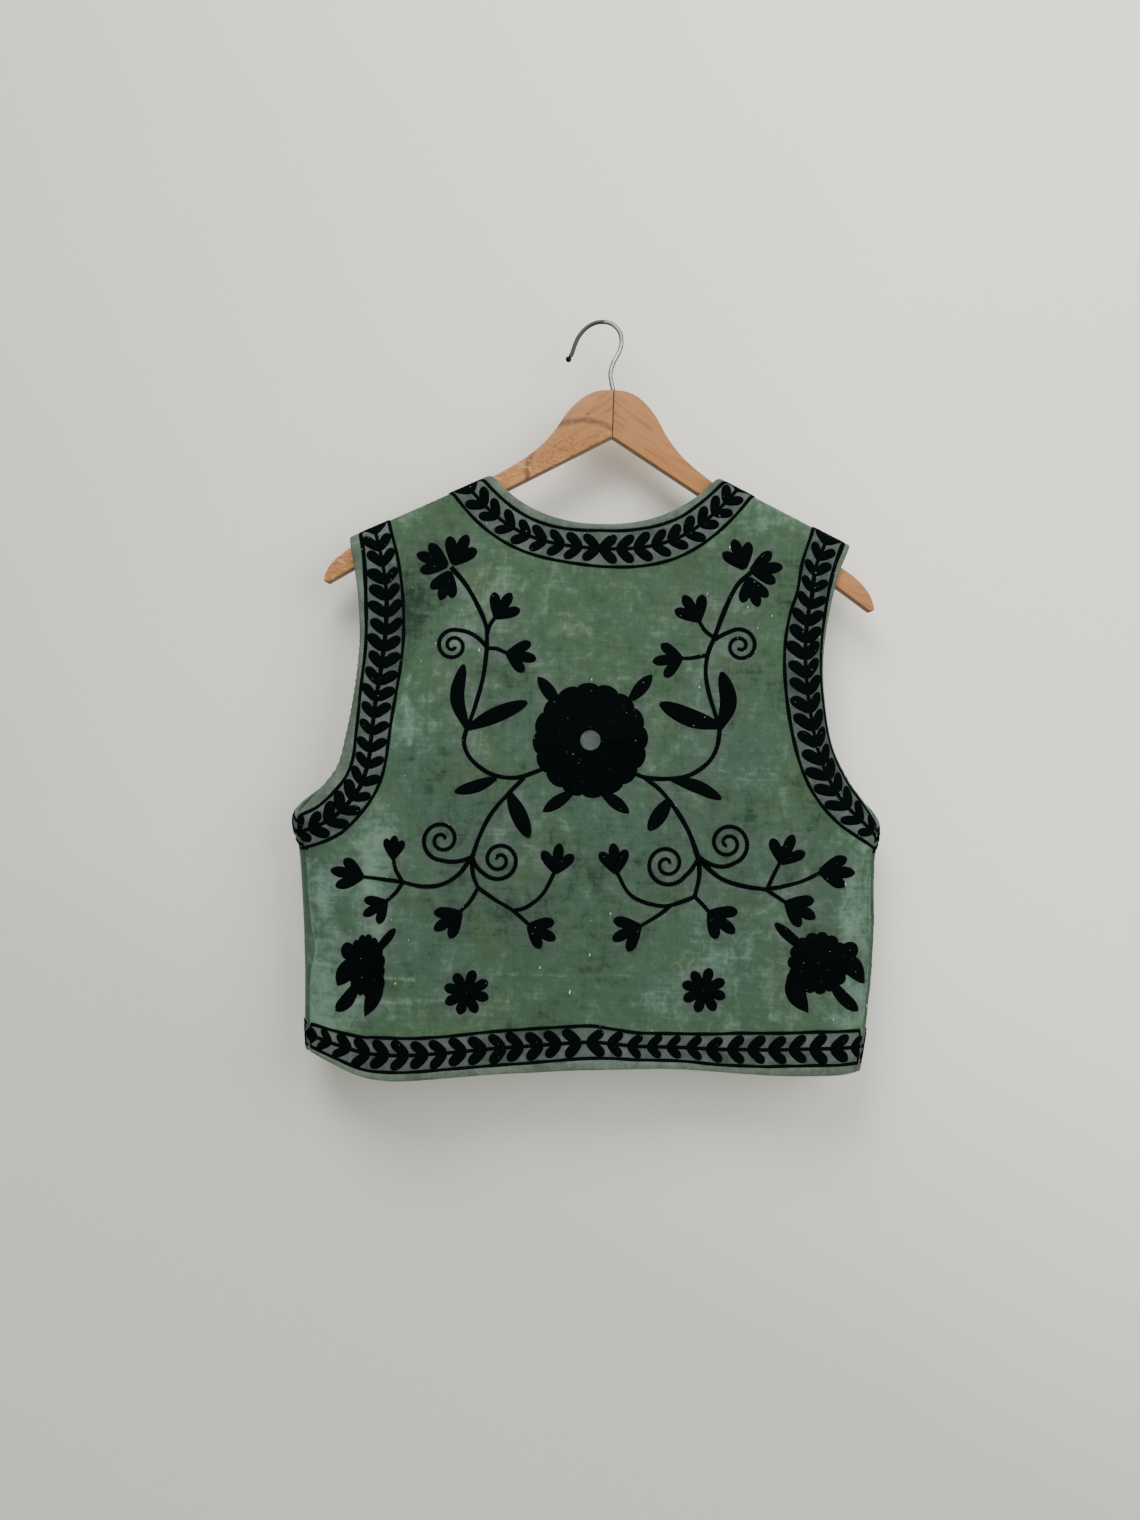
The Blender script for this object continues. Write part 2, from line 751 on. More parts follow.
def inside_outline(points: Array, outline: Array) -> Array:
    """Whether points of the cloth lie inside a closed outline.

    Args:
        points: cloth points, one a row.
        outline: corners of the outline.

    Returns:
        True for each point that lies inside.
    """
    odd = np.zeros(len(points), dtype=bool)
    across, up = points.T
    for start, stop in zip(outline, np.roll(outline, -1, axis=0)):
        crosses = (start[1] > up) != (stop[1] > up)
        if stop[1] != start[1]:
            edge = start[0] + (up - start[1]) * (stop[0] - start[0]) / (stop[1] - start[1])
            odd ^= crosses & (across < edge)
    return odd


def signed_area(outline: Array) -> float:
    """Area inside a closed outline, positive where it turns left."""
    after = np.roll(outline, -1, axis=0)
    return float(np.sum(outline[:, 0] * after[:, 1] - after[:, 0] * outline[:, 1])) / 2.0


def new_piece(name: str, points: Array, faces: list, material: Material,
              sharp: float = 50.0) -> Piece:
    """Make a piece of the dressed model, which rides on the root body.

    Args:
        name: the piece's name.
        points: its points in the frame, in metres.
        faces: index tuples of its faces.
        material: its material.
        sharp: angle in degrees above which an edge stays sharp.

    Returns:
        The new object.
    """
    mesh = bpy.data.meshes.new(name)
    mesh.from_pydata(points.tolist(), [], faces)
    mesh.update()
    mesh.shade_smooth()
    mesh.set_sharp_from_angle(angle=math.radians(sharp))
    mesh.materials.append(material)
    piece = bpy.data.objects.new(name, mesh)
    bpy.context.scene.collection.objects.link(piece)
    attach(piece, "root")
    log.info("%s: %d faces", name, len(faces))
    return piece


def store(piece: Piece, name: str, values: Array) -> None:
    """Keep a number or a vector for each point of a piece.

    Args:
        piece: the piece.
        name: name of the attribute.
        values: its values, one a row.
    """
    kind, field_name = ("FLOAT", "value") if values.ndim == 1 else ("FLOAT_VECTOR", "vector")
    layer = piece.data.attributes.new(name, kind, "POINT")
    layer.data.foreach_set(field_name, values.astype(np.float32).ravel())


class Wiring:
    """Short hand for the node tree of one material."""

    def __init__(self, name: str) -> None:
        """Start a material with a principled shader.

        Args:
            name: name of the material.
        """
        self.material = bpy.data.materials.new(name)
        self.material.use_nodes = True
        self.tree = self.material.node_tree
        self.shader = self.tree.nodes["Principled BSDF"]

    def feed(self, node: bpy.types.Node, values: dict[int | str, Value]) -> None:
        """Give sockets of a node links, numbers or colours.

        Args:
            node: the node.
            values: links or values by the name or index of their socket.
        """
        for name, value in values.items():
            target = node.inputs[name]
            if isinstance(value, Socket):
                self.tree.links.new(value, target)
            else:
                target.default_value = (*value, 1.0) if target.type == "RGBA" else value

    def add(self, kind: str, values: dict[int | str, Value], output: int | str = 0,
            **settings: object) -> Socket:
        """Add a node.

        Args:
            kind: type of the node, without its first two words.
            values: links or values by the name or index of their socket.
            output: name or index of the wanted output.
            **settings: properties of the node.

        Returns:
            The wanted output.
        """
        node = self.tree.nodes.new("ShaderNode" + kind)
        for name, value in settings.items():
            setattr(node, name, value)
        self.feed(node, values)
        return node.outputs[output]

    def attribute(self, name: str, output: str = "Fac") -> Socket:
        """Read a stored value of the mesh."""
        return self.add("Attribute", {}, output, attribute_name=name)

    def axes(self, vector: Socket) -> Sequence[Socket]:
        """The three numbers of a vector."""
        return self.add("SeparateXYZ", {0: vector}).node.outputs

    def math(self, operation: str, *numbers: Value, clamp: bool = False) -> Socket:
        """Work out a number from up to three."""
        return self.add("Math", dict(enumerate(numbers)), operation=operation, use_clamp=clamp)

    def times(self, first: Value, second: Value) -> Socket:
        """Product of two numbers."""
        return self.math("MULTIPLY", first, second)

    def total(self, *numbers: Value) -> Socket:
        """Sum of several numbers."""
        return reduce(lambda first, second: self.math("ADD", first, second), numbers)

    def weighted(self, *parts: tuple[Socket, float], base: Sequence[float] = ()) -> Socket:
        """Sum of numbers, each scaled by its weight, and of a base."""
        return self.total(*(self.times(number, weight) for number, weight in parts), *base)

    def distance(self, axes: Sequence[Socket], middle: Sequence[float]) -> Socket:
        """Distance of a place from a middle on the X and Z axes."""
        gaps = [self.math("SUBTRACT", axes[axis], value) for axis, value in zip((0, 2), middle)]
        return self.math("SQRT", self.total(*(self.times(gap, gap) for gap in gaps)))

    def scaled(self, vector: Socket, scale: Triple = (1.0, 1.0, 1.0),
               turn: Triple = (0.0, 0.0, 0.0), shift: Triple = (0.0, 0.0, 0.0)) -> Socket:
        """A vector that is stretched, turned by angles in radians and shifted."""
        return self.add("Mapping", {0: vector, "Location": shift, "Rotation": turn, "Scale": scale})

    def noise(self, vector: Socket, scale: float = 1.0, detail: float = 3.0, rough: float = 0.6,
              bend: float = 0.0) -> Socket:
        """Soft noise from 0 to 1 that bends itself by a share."""
        return self.add("TexNoise", {"Vector": vector, "Scale": scale, "Detail": detail,
                                     "Roughness": rough, "Distortion": bend})

    def spread(self, value: Socket, low: float, high: float, start: float = 0.0,
               stop: float = 1.0, kind: str = "SMOOTHSTEP") -> Socket:
        """Map the range from low to high on the one from start to stop, and hold its ends."""
        return self.add("MapRange", {"Value": value, "From Min": low, "From Max": high,
                                     "To Min": start, "To Max": stop}, interpolation_type=kind)

    def ramp(self, value: Socket, *stops: tuple[float, Triple]) -> Socket:
        """Read a colour from a ramp.

        Args:
            value: place on the ramp, from 0 to 1.
            *stops: places and their colours.

        Returns:
            The colour.
        """
        colour = self.add("ValToRGB", {0: value})
        ramp = colour.node.color_ramp
        ramp.interpolation = "EASE"
        while len(ramp.elements) < len(stops):
            ramp.elements.new(0.5)
        for element, (place, tone) in zip(ramp.elements, stops):
            element.position = place
            element.color = (*tone, 1.0)
        return colour

    def mix(self, share: Value, first: Value, second: Value, blend: str = "MIX") -> Socket:
        """Mix two colours by the share of the second."""
        return self.add("Mix", {0: share, 6: first, 7: second}, 2, data_type="RGBA", blend_type=blend)

    def bump(self, height: Socket, distance: float, strength: float, **under: Socket) -> Socket:
        """Normal bent by a height in metres, over another Normal where it is given."""
        return self.add("Bump", {"Strength": strength, "Distance": distance, "Height": height, **under})

    def finish(self, **sockets: Value) -> Material:
        """Set the shader's sockets, named with underscores for spaces."""
        self.feed(self.shader, {name.replace("_", " "): value for name, value in sockets.items()})
        return self.material


@dataclass(frozen=True)
class Velvet:
    """Sage velvet whose brushed pile shows as soft clouds and a faint crosshatch."""

    name: str = "sage_velvet"
    dark: Triple = (0.012, 0.029, 0.018)
    middle: Triple = (0.0440, 0.0868, 0.0476)
    light: Triple = (0.120, 0.205, 0.140)
    flat_dark: Triple = (0.028, 0.043, 0.036)
    flat_light: Triple = (0.100, 0.128, 0.114)
    strip_dark: Triple = (0.046, 0.070, 0.050)
    strip_light: Triple = (0.122, 0.165, 0.134)
    wrong_dark: Triple = (0.050, 0.074, 0.052)
    wrong_light: Triple = (0.088, 0.120, 0.090)
    lint: Triple = (0.55, 0.60, 0.54)
    cool: Triple = (0.980, 1.0, 1.17)
    warm: Triple = (1.07, 1.0, 0.94)
    cloud: float = 0.80

    def build(self) -> Material:
        """Wire the velvet.

        Returns:
            The new material.
        """
        wiring = Wiring(self.name)
        cloth = wiring.attribute("cloth", "Vector")
        clouds = wiring.noise(cloth, 0.016, 5.0, 0.58, 0.6)
        blots = wiring.noise(cloth, 0.045, 3.0, 0.55, 0.9)
        mottle = wiring.noise(cloth, 0.11, 4.0, 0.62, 0.7)
        weft = wiring.noise(wiring.scaled(cloth, (0.030, 0.34, 1.0)))
        warp = wiring.noise(wiring.scaled(cloth, (0.34, 0.030, 1.0)))
        pile = wiring.noise(cloth, 0.9, 2.0, 0.7)
        parts = ((clouds, self.cloud), (blots, 0.50), (mottle, 0.80), (weft, 0.34), (warp, 0.30),
                 (pile, 0.36))
        offset = sum(weight for _, weight in parts) / 2.0
        tone = wiring.weighted(*parts, (wiring.attribute("nap"), 0.5), base=(0.5 - offset,))
        colour = wiring.ramp(tone, (0.04, self.dark), (0.5, self.middle), (1.0, self.light))
        colour = self.tint(wiring, cloth, colour)
        pressed = wiring.times(wiring.attribute("crush"), wiring.spread(blots, 0.34, 0.66, 0.12, 0.85))
        flat = wiring.math("MAXIMUM", wiring.spread(wiring.attribute("band"), -0.3, 0.3), pressed)
        flat_colour = wiring.ramp(tone, (0.1, self.flat_dark), (0.95, self.flat_light))
        colour = wiring.mix(flat, colour, flat_colour)
        strip_colour = wiring.ramp(tone, (0.1, self.strip_dark), (0.9, self.strip_light))
        colour = wiring.mix(wiring.spread(wiring.attribute("strip"), -0.3, 0.3), colour, strip_colour)
        under = wiring.mix(weft, self.wrong_dark, self.wrong_light)
        colour = wiring.mix(wiring.attribute("wrong"), colour, under)
        fluff = wiring.noise(wiring.scaled(cloth, (0.9, 0.35, 1.0), (0.0, 0.0, 0.6)), 0.42, 1.0, 0.4)
        colour = wiring.mix(wiring.spread(fluff, 0.800, 0.815), colour, self.lint)
        height = wiring.weighted((pile, 0.5), (weft, 0.25), (warp, 0.2), (mottle, 0.8))
        return wiring.finish(Base_Color=colour, Sheen_Weight=0.12, Sheen_Roughness=0.38,
                             Roughness=wiring.spread(mottle, 0.2, 0.8, 0.92, 0.74, "LINEAR"),
                             Sheen_Tint=(0.78, 0.92, 0.82), Specular_IOR_Level=0.22,
                             Normal=wiring.bump(height, 0.0009, 0.55))

    def tint(self, wiring: Wiring, cloth: Socket, colour: Socket) -> Socket:
        """Turn the pile cooler in its lower part and in patches, and warmer in others.

        Args:
            wiring: the material's node tree.
            cloth: the cloth coordinates.
            colour: the colour to tint.

        Returns:
            The tinted colour.
        """
        up = wiring.axes(cloth)[1]
        patches = wiring.noise(wiring.scaled(cloth, shift=(31.0, 9.0, 0.0)), 0.021, 3.0, 0.55, 0.8)
        low = wiring.times(wiring.spread(up, -380.0, -210.0, 0.80, 0.10),
                           wiring.spread(up, -590.0, -500.0, 0.40, 1.0))
        cooler = wiring.math("ADD", low, wiring.spread(patches, 0.36, 0.66, -0.35, 0.35), clamp=True)
        colour = wiring.mix(cooler, colour, self.cool, "MULTIPLY")
        return wiring.mix(wiring.spread(patches, 0.44, 0.34), colour, self.warm, "MULTIPLY")


@dataclass(frozen=True)
class Thread:
    """Near-black green thread in rows of chain stitch."""

    name: str = "embroidery_thread"
    dark: Triple = (0.0006, 0.0018, 0.0019)
    light: Triple = (0.0014, 0.0044, 0.0041)
    glint: Triple = (0.22, 0.27, 0.25)
    row: float = 1.6

    def build(self) -> Material:
        """Wire the thread.

        Returns:
            The new material.
        """
        wiring = Wiring(self.name)
        row = wiring.math("DIVIDE", wiring.attribute("row"), self.row)
        reach = wiring.math("ABSOLUTE", wiring.math("SUBTRACT", wiring.math("FRACT", row), 0.5))
        strand = wiring.math("SUBTRACT", 1.0, wiring.math("POWER", wiring.times(reach, 2.0), 2.0))
        stitches = wiring.math("DIVIDE", wiring.attribute("run"), STITCH)
        offset = wiring.times(wiring.math("FLOOR", row), 0.43)
        link = wiring.math("FRACT", wiring.total(stitches, wiring.times(reach, 0.9), offset))
        loop = wiring.math("SINE", wiring.times(link, math.pi))
        height = wiring.weighted((strand, 0.55), (loop, 0.6))
        cloth = wiring.attribute("cloth", "Vector")
        fuzz = wiring.noise(cloth, 1.7, 2.0, 0.7)
        colour = wiring.mix(wiring.times(height, fuzz), self.dark, self.light)
        turned = wiring.scaled(cloth, turn=(0.0, 0.0, 0.4), shift=(7.0, 3.0, 0.0))
        fleck = wiring.noise(turned, 0.52, 1.0, 0.5)
        colour = wiring.mix(wiring.spread(fleck, 0.785, 0.81), colour, self.glint)
        under = wiring.bump(fuzz, 0.0002, 0.35)
        return wiring.finish(Base_Color=colour, Specular_IOR_Level=0.02,
                             Roughness=wiring.spread(fuzz, 0.2, 0.8, 0.55, 0.8, "LINEAR"),
                             Normal=wiring.bump(height, 0.00055, 0.8, Normal=under))


@dataclass(frozen=True)
class Wood:
    """Lightly varnished wood whose grain runs along one hanger arm.

    An arch of dark figure and the flecks inside it show where `arch` gives the arch's
    middle on the X and Z axes and its radius.
    """

    name: str
    turn: float
    arch: Triple | None = None
    knot: Point = (-0.0098, -0.0738)
    dark: Triple = (0.240, 0.090, 0.024)
    middle: Triple = (0.374, 0.154, 0.041)
    light: Triple = (0.480, 0.226, 0.070)
    scar: Triple = (0.088, 0.035, 0.012)
    grime: Triple = (0.085, 0.045, 0.018)
    worn: Triple = (0.640, 0.400, 0.180)

    def figure(self, wiring: Wiring, axes: Sequence[Socket], drift: Socket, flecks: Socket) -> Socket:
        """Wire the arch of dark figure, the flecks inside it and the small knot.

        Args:
            wiring: the material's node tree.
            axes: place in the frame, in metres.
            drift: slow noise that makes the arch uneven.
            flecks: fine noise that breaks it up.

        Returns:
            How much of the dark figure shows, from 0 to 1.
        """
        *middle, radius = self.arch
        centred = wiring.math("SUBTRACT", wiring.distance(axes, middle), 0.006)
        away = wiring.math("MULTIPLY_ADD", drift, 0.012, centred)
        off = wiring.math("ABSOLUTE", wiring.math("SUBTRACT", away, radius))
        ring = wiring.spread(off, 0.0004, 0.0036, 0.85, 0.0)
        broken = wiring.times(ring, wiring.spread(flecks, 0.36, 0.52, 0.40, 1.0))
        inside = wiring.spread(away, radius - 0.012, radius + 0.001, 1.0, 0.0)
        inner = wiring.times(inside, wiring.spread(flecks, 0.52, 0.60, 0.0, 0.60))
        dot = wiring.spread(wiring.distance(axes, self.knot), 0.0006, 0.0011, 0.9, 0.0)
        return wiring.math("MAXIMUM", wiring.math("MAXIMUM", broken, inner), dot)

    def build(self) -> Material:
        """Wire the wood.

        Returns:
            The new material.
        """
        wiring = Wiring(self.name)
        place = wiring.add("TexCoord", {}, "Object")
        lay = wiring.scaled(place, turn=(0.0, self.turn, 0.0))
        drift = wiring.noise(wiring.scaled(lay, (14.0, 30.0, 40.0)), 1.0, 2.0, 0.5, 0.6)
        grain = wiring.noise(wiring.scaled(lay, (16.0, 120.0, 210.0)), 1.0, 5.0, 0.62, 0.9)
        pores = wiring.noise(wiring.scaled(lay, (90.0, 1100.0, 1100.0)), 1.0, 2.0)
        rings = wiring.math("SINE", wiring.weighted((wiring.axes(lay)[2], 900.0), (drift, 30.0)))
        tone = wiring.weighted((grain, 0.80), (rings, 0.07), (pores, 0.20), (drift, 0.75), base=(-0.44,))
        colour = wiring.ramp(tone, (0.12, self.dark), (0.48, self.middle), (0.85, self.light))
        colour = wiring.mix(wiring.spread(grain, 0.60, 0.68, 0.0, 0.18), colour, self.dark)
        if self.arch is not None:
            axes = wiring.axes(place)
            flecks = wiring.noise(wiring.scaled(place, (260.0, 200.0, 420.0)), 1.0, 4.0, 0.65, 1.2)
            colour = wiring.mix(self.figure(wiring, axes, drift, flecks), colour, self.scar)
            pale = wiring.scaled(place, (110.0, 90.0, 330.0), shift=(3.0, 0.0, 1.0))
            pale = wiring.spread(wiring.noise(pale, 1.0, 3.0, 0.6, 1.5), 0.55, 0.62)
            low = wiring.spread(axes[2], -0.118, -0.102, 0.55, 0.0)
            colour = wiring.mix(wiring.times(low, pale), colour, self.worn)
        colour = wiring.mix(wiring.attribute("soiled"), colour, self.grime)
        height = wiring.weighted((pores, 0.5), (grain, 0.5))
        return wiring.finish(Base_Color=colour, Coat_Weight=0.06, Coat_Roughness=0.28,
                             Roughness=wiring.spread(grain, 0.2, 0.8, 0.42, 0.58, "LINEAR"),
                             Normal=wiring.bump(height, 0.0004, 0.35))


@dataclass(frozen=True)
class Steel:
    """Drawn hook wire, bright or blackened, and black left of a split on the X axis."""

    name: str
    bright: Triple = (0.60, 0.60, 0.59)
    dull: Triple = (0.36, 0.36, 0.35)
    roughness: float = 0.34
    split: float | None = None
    black: Triple = (0.050, 0.052, 0.052)
    side: Triple = (0.020, 0.021, 0.020)

    def build(self) -> Material:
        """Wire the steel.

        Returns:
            The new material.
        """
        wiring = Wiring(self.name)
        place = wiring.add("TexCoord", {}, "Object")
        stain = wiring.noise(place, 240.0, 4.0, 0.6, 0.4)
        colour = wiring.mix(wiring.spread(stain, 0.35, 0.65), self.bright, self.dull)
        flank = wiring.attribute("flank")
        colour = wiring.mix(flank, colour, self.side)
        facing = wiring.math("SUBTRACT", 1.0, flank)
        if self.split is not None:
            worn = wiring.noise(place, 160.0)
            worn = wiring.math("MULTIPLY_ADD", worn, 0.006, wiring.axes(place)[0])
            blackened = wiring.spread(worn, self.split - 0.003, self.split + 0.003, 1.0, 0.0)
            colour = wiring.mix(blackened, colour, self.black)
        rough = wiring.spread(stain, 0.3, 0.7, self.roughness, self.roughness + 0.18, "LINEAR")
        return wiring.finish(Base_Color=colour, Metallic=facing, Roughness=rough,
                             Specular_IOR_Level=wiring.times(facing, 0.5),
                             Normal=wiring.bump(stain, 0.0001, 0.3))


@dataclass(frozen=True)
class Plaster:
    """Matt paint of the wall and the floor, which can be clear from behind."""

    name: str
    pale: Triple = (0.990, 0.992, 0.940)
    shade: Triple = (0.672, 0.680, 0.638)
    one_sided: bool = False

    def build(self) -> Material:
        """Wire the paint.

        Returns:
            The new material.
        """
        wiring = Wiring(self.name)
        place = wiring.add("TexCoord", {}, "Object")
        axes = wiring.axes(place)
        low = wiring.math("MINIMUM", wiring.total(axes[2], 0.45), 0.0)
        cloud = wiring.noise(place, 2.4, 4.0, 0.55)
        share = wiring.weighted((axes[0], 1.25), (low, 2.4), (cloud, 0.22), base=(0.60,))
        colour = wiring.mix(wiring.math("ADD", share, 0.0, clamp=True), self.shade, self.pale)
        wiring.finish(Base_Color=colour, Roughness=0.9, Specular_IOR_Level=0.15,
                      Normal=wiring.bump(wiring.noise(place, 420.0), 0.0005, 0.25))
        if self.one_sided:
            behind = wiring.add("NewGeometry", {}, "Backfacing")
            clear = wiring.add("BsdfTransparent", {})
            either = wiring.add("MixShader", {0: behind, 1: wiring.shader.outputs[0], 2: clear})
            wiring.feed(wiring.tree.nodes["Material Output"], {"Surface": either})
        return wiring.material


@dataclass
class Borders:
    """Places of the lines that edge the embroidered borders, inward from the edges."""

    form: ClothForm
    plain: Point = (7.6, 32.0)
    hem_over: float = 20.0

    def lines(self, edge: Edge, run: EdgeRun, side: Side) -> tuple[Array, Array]:
        """Distances of the outer and the inner line along an edge.

        Args:
            edge: the kind of edge.
            run: its stretch.
            side: left or right.

        Returns:
            The distances of both lines.
        """
        tables = LINES[side if edge == Edge.ARMHOLE else edge]
        if run.face == Face.BACK:
            places = run.points[:, int(edge == Edge.ARMHOLE)]
            return tuple(table_curve(rows, 1, places) for rows in tables)
        gone = along(run.points)
        start, stop = (1.0 - ease(part / END_BLEND) for part in (gone, gone[-1] - gone))
        found = []
        for rows, middle in zip(tables, self.plain):
            first = last = middle
            if edge == Edge.NECK:
                place = self.form.neck_middle + side * self.form.neck_half
                first = float(table_curve(rows, 1, np.array(place)))
            elif edge == Edge.ARMHOLE:
                first, last = rows[-1][1], rows[0][1]
            else:
                last = rows[-1 if side == Side.RIGHT else 0][1]
            found.append(middle + (first - middle) * start + (last - middle) * stop)
        return tuple(found)

    def runs(self, face: Face, side: Side) -> list[tuple[EdgeRun, Array, Array]]:
        """Edges of half a face, with the distances of their two lines.

        Args:
            face: back or front.
            side: left or right.

        Returns:
            The neck, the armhole and the hem, each with both distances.
        """
        start = self.form.neck_middle - self.hem_over * side
        runs = [self.form.run(edge, face, side, start) for edge in Edge]
        return [(run, *self.lines(edge, run, side)) for edge, run in zip(Edge, runs)]

    def distances(self, face: Face, sides: Sequence[Side], points: Array) -> tuple[Array, Array]:
        """Signed distances from points to the outer and the inner lines.

        Args:
            face: back or front.
            sides: the sides that the points' panel reaches.
            points: cloth points.

        Returns:
            Distances inward from the outer line and from the inner line.
        """
        nearest = np.full((2, len(points)), np.inf)
        for side in sides:
            own = points[:, 0] * side >= self.form.neck_middle * side
            for run, *lines in self.runs(face, side):
                for best, distance in zip(nearest, lines):
                    found = side_of_line(points, run.inset(distance), run.inward)
                    best[own] = np.minimum(best, found)[own]
        return nearest[0], nearest[1]


@dataclass
class Panel:
    """Cut and sewn piece of velvet, as a closed shell of even thickness."""

    form: ClothForm
    borders: Borders
    name: str
    face: Face
    sides: tuple[Side, ...]
    stitched: Array
    grid: float = 3.2
    inset: float = 2.7
    crest: float = 0.95

    def half_outline(self, side: Side) -> Array:
        """Outline of half a panel, from the middle of its neck to its hem corner.

        Args:
            side: left or right.

        Returns:
            The cloth points of the outline.
        """
        form, face = self.form, self.face
        neck = form.neck_run(face, side).inset(self.inset)
        armhole = form.armhole_run(face, side).inset(self.inset)
        place = np.linspace(neck[0, 0], armhole[0, 0], 50)
        shoulder = np.column_stack([place, form.shoulder_cloth_up(place) - form.seam_gap / 2.0])
        foot = float(table_curve(HEMS[face], 1, np.array(form.hem_corner(face, side))))
        up = np.arange(armhole[-1, 1], foot + self.inset, -2.6)
        across = side * (form.edge_across(face, side, up) - form.seam_gap / 2.0)
        return np.vstack([neck[:0:-1], shoulder, armhole[1:-1], np.column_stack([across, up])])

    def cut(self) -> Array:
        """Closed outline of the panel in the cloth, inside its bindings.

        Returns:
            The cloth points of the outline.
        """
        first, *others = [self.half_outline(side) for side in reversed(self.sides)]
        stop = others[0][-1, 0] if others else first[0, 0]
        hem = self.form.hem_run(self.face, first[-1, 0], stop).inset(self.inset)
        return np.vstack([first, hem[1:-1], *(half[:0:-1] for half in others)])

    def inner_points(self, outline: Array) -> Array:
        """Grid of points inside the outline, closer together along the creases.

        Args:
            outline: outline of the panel.

        Returns:
            The cloth points of the grid.
        """
        low, high = outline.min(axis=0), outline.max(axis=0)
        rows = np.arange(low[1], high[1], self.grid * 0.87)[:, None]
        places = np.arange(low[0], high[0], self.grid)[None, :]
        shift = (np.arange(len(rows)) % 2)[:, None] * self.grid / 2.0
        grid = np.dstack(np.broadcast_arrays(places + shift, rows)).reshape(-1, 2)
        lines = []
        for crease in CREASES[self.face]:
            route = smooth_route(crease.route, self.grid * 0.6)
            share = min(1.0, crease.width / 3.0)
            lines += [route + square_to(route) * gap for gap in (-1.3 * share, 0.0, 1.3 * share)]
        for line in lines:
            grid = grid[nearest(grid, line) >= 1.2]
        points = np.vstack([grid] + lines)
        points = points[inside_outline(points, outline)]
        return points[nearest(points, outline) > 0.45 * self.grid]

    def nap(self, points: Array) -> Array:
        """How light the pile is brushed.

        Args:
            points: cloth points, one a row.

        Returns:
            The lightness at the points, from -1 to 1.
        """
        total = np.zeros(len(points))
        for patch in NAP[self.face]:
            turn = math.radians(patch.tilt)
            off = points - (patch.across, patch.up)
            wide = (off[:, 0] * math.cos(turn) - off[:, 1] * math.sin(turn)) / patch.wide
            tall = (off[:, 0] * math.sin(turn) + off[:, 1] * math.cos(turn)) / patch.tall
            total += patch.tone * np.exp(-(wide ** 2 + tall ** 2))
        for crease in CREASES[self.face]:
            height = crease.rise * min(1.0, 2.4 / crease.width)
            total += self.crest * height * ridge(points, crease.route, 0.8 + 0.32 * crease.width)
        if self.face == Face.BACK:
            distance = self.form.seam_distance(self.face, *points.T)
            wave = 0.75 + 0.25 * np.sin(points[:, 1] / 7.0)
            joined = points[:, 1] < self.form.underarm(self.sides[0]) - 30.0
            total += np.where(joined, 0.9 * wave * np.exp(-((distance - 1.6) / 1.5) ** 2), 0.0)
        return total

    def crush(self, points: Array) -> Array:
        """How flat the pile is pressed beside the stitching.

        Args:
            points: cloth points, one a row.

        Returns:
            The share at the points, from 0 to 1.
        """
        tree = KDTree(len(self.stitched))
        for index, point in enumerate(self.stitched):
            tree.insert((*point, 0.0), index)
        tree.balance()
        gap = np.array([tree.find((*point, 0.0))[2] for point in points])
        return np.exp(-(gap / 5.5) ** 2)

    def build(self, velvet: Material, node: str, carried: Sequence[Piece]) -> Piece:
        """Cut the panel, hang it and say what sheet of cloth it is.

        Args:
            velvet: its material.
            node: the CAD node that it stands for.
            carried: stitching that goes with it.

        Returns:
            The new piece.
        """
        outline = self.cut()
        given = [Vector(point) for point in np.vstack([outline, self.inner_points(outline)])]
        rim = [(index, (index + 1) % len(outline)) for index in range(len(outline))]
        flat, _, triangles, *_ = delaunay_2d_cdt(given, rim, [], 1, 1e-6)
        points = np.array([tuple(point) for point in flat])
        outer = self.form.place(self.face, points)
        under = self.form.place(self.face, points, -self.form.cloth)
        turned = (signed_area(points[list(triangles[0])]) > 0.0) != (self.face == Face.BACK)
        faces, uses = [], {}
        for triangle in triangles:
            ordered = tuple(reversed(triangle)) if turned else tuple(triangle)
            faces += [ordered, tuple(index + len(points) for index in reversed(ordered))]
            for pair in zip(ordered, ordered[1:] + ordered[:1]):
                key = frozenset(pair)
                uses[key] = None if key in uses else pair
        faces += [(stop, start, start + len(points), stop + len(points))
                  for start, stop in filter(None, uses.values())]
        piece = new_piece(self.name, np.vstack([outer, under]), faces, velvet)
        both = np.vstack([points, points])
        store(piece, "cloth", np.column_stack([both, np.full(len(both), 40.0 * self.face)]))
        store(piece, "nap", self.nap(both))
        lower, upper = self.borders.distances(self.face, self.sides, points)
        band = np.minimum(lower, -upper)
        if self.face == Face.BACK:
            middle = Rosette()
            eye = middle.hole + 1.5 - np.linalg.norm(points - middle.centre, axis=1)
            band = np.maximum(band, eye)
        store(piece, "band", np.tile(band, 2))
        store(piece, "wrong", np.repeat([0.0, 1.0], len(points)))
        store(piece, "strip", np.tile(-lower, 2))
        store(piece, "crush", np.tile(self.crush(points), 2))
        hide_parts(node)
        return piece


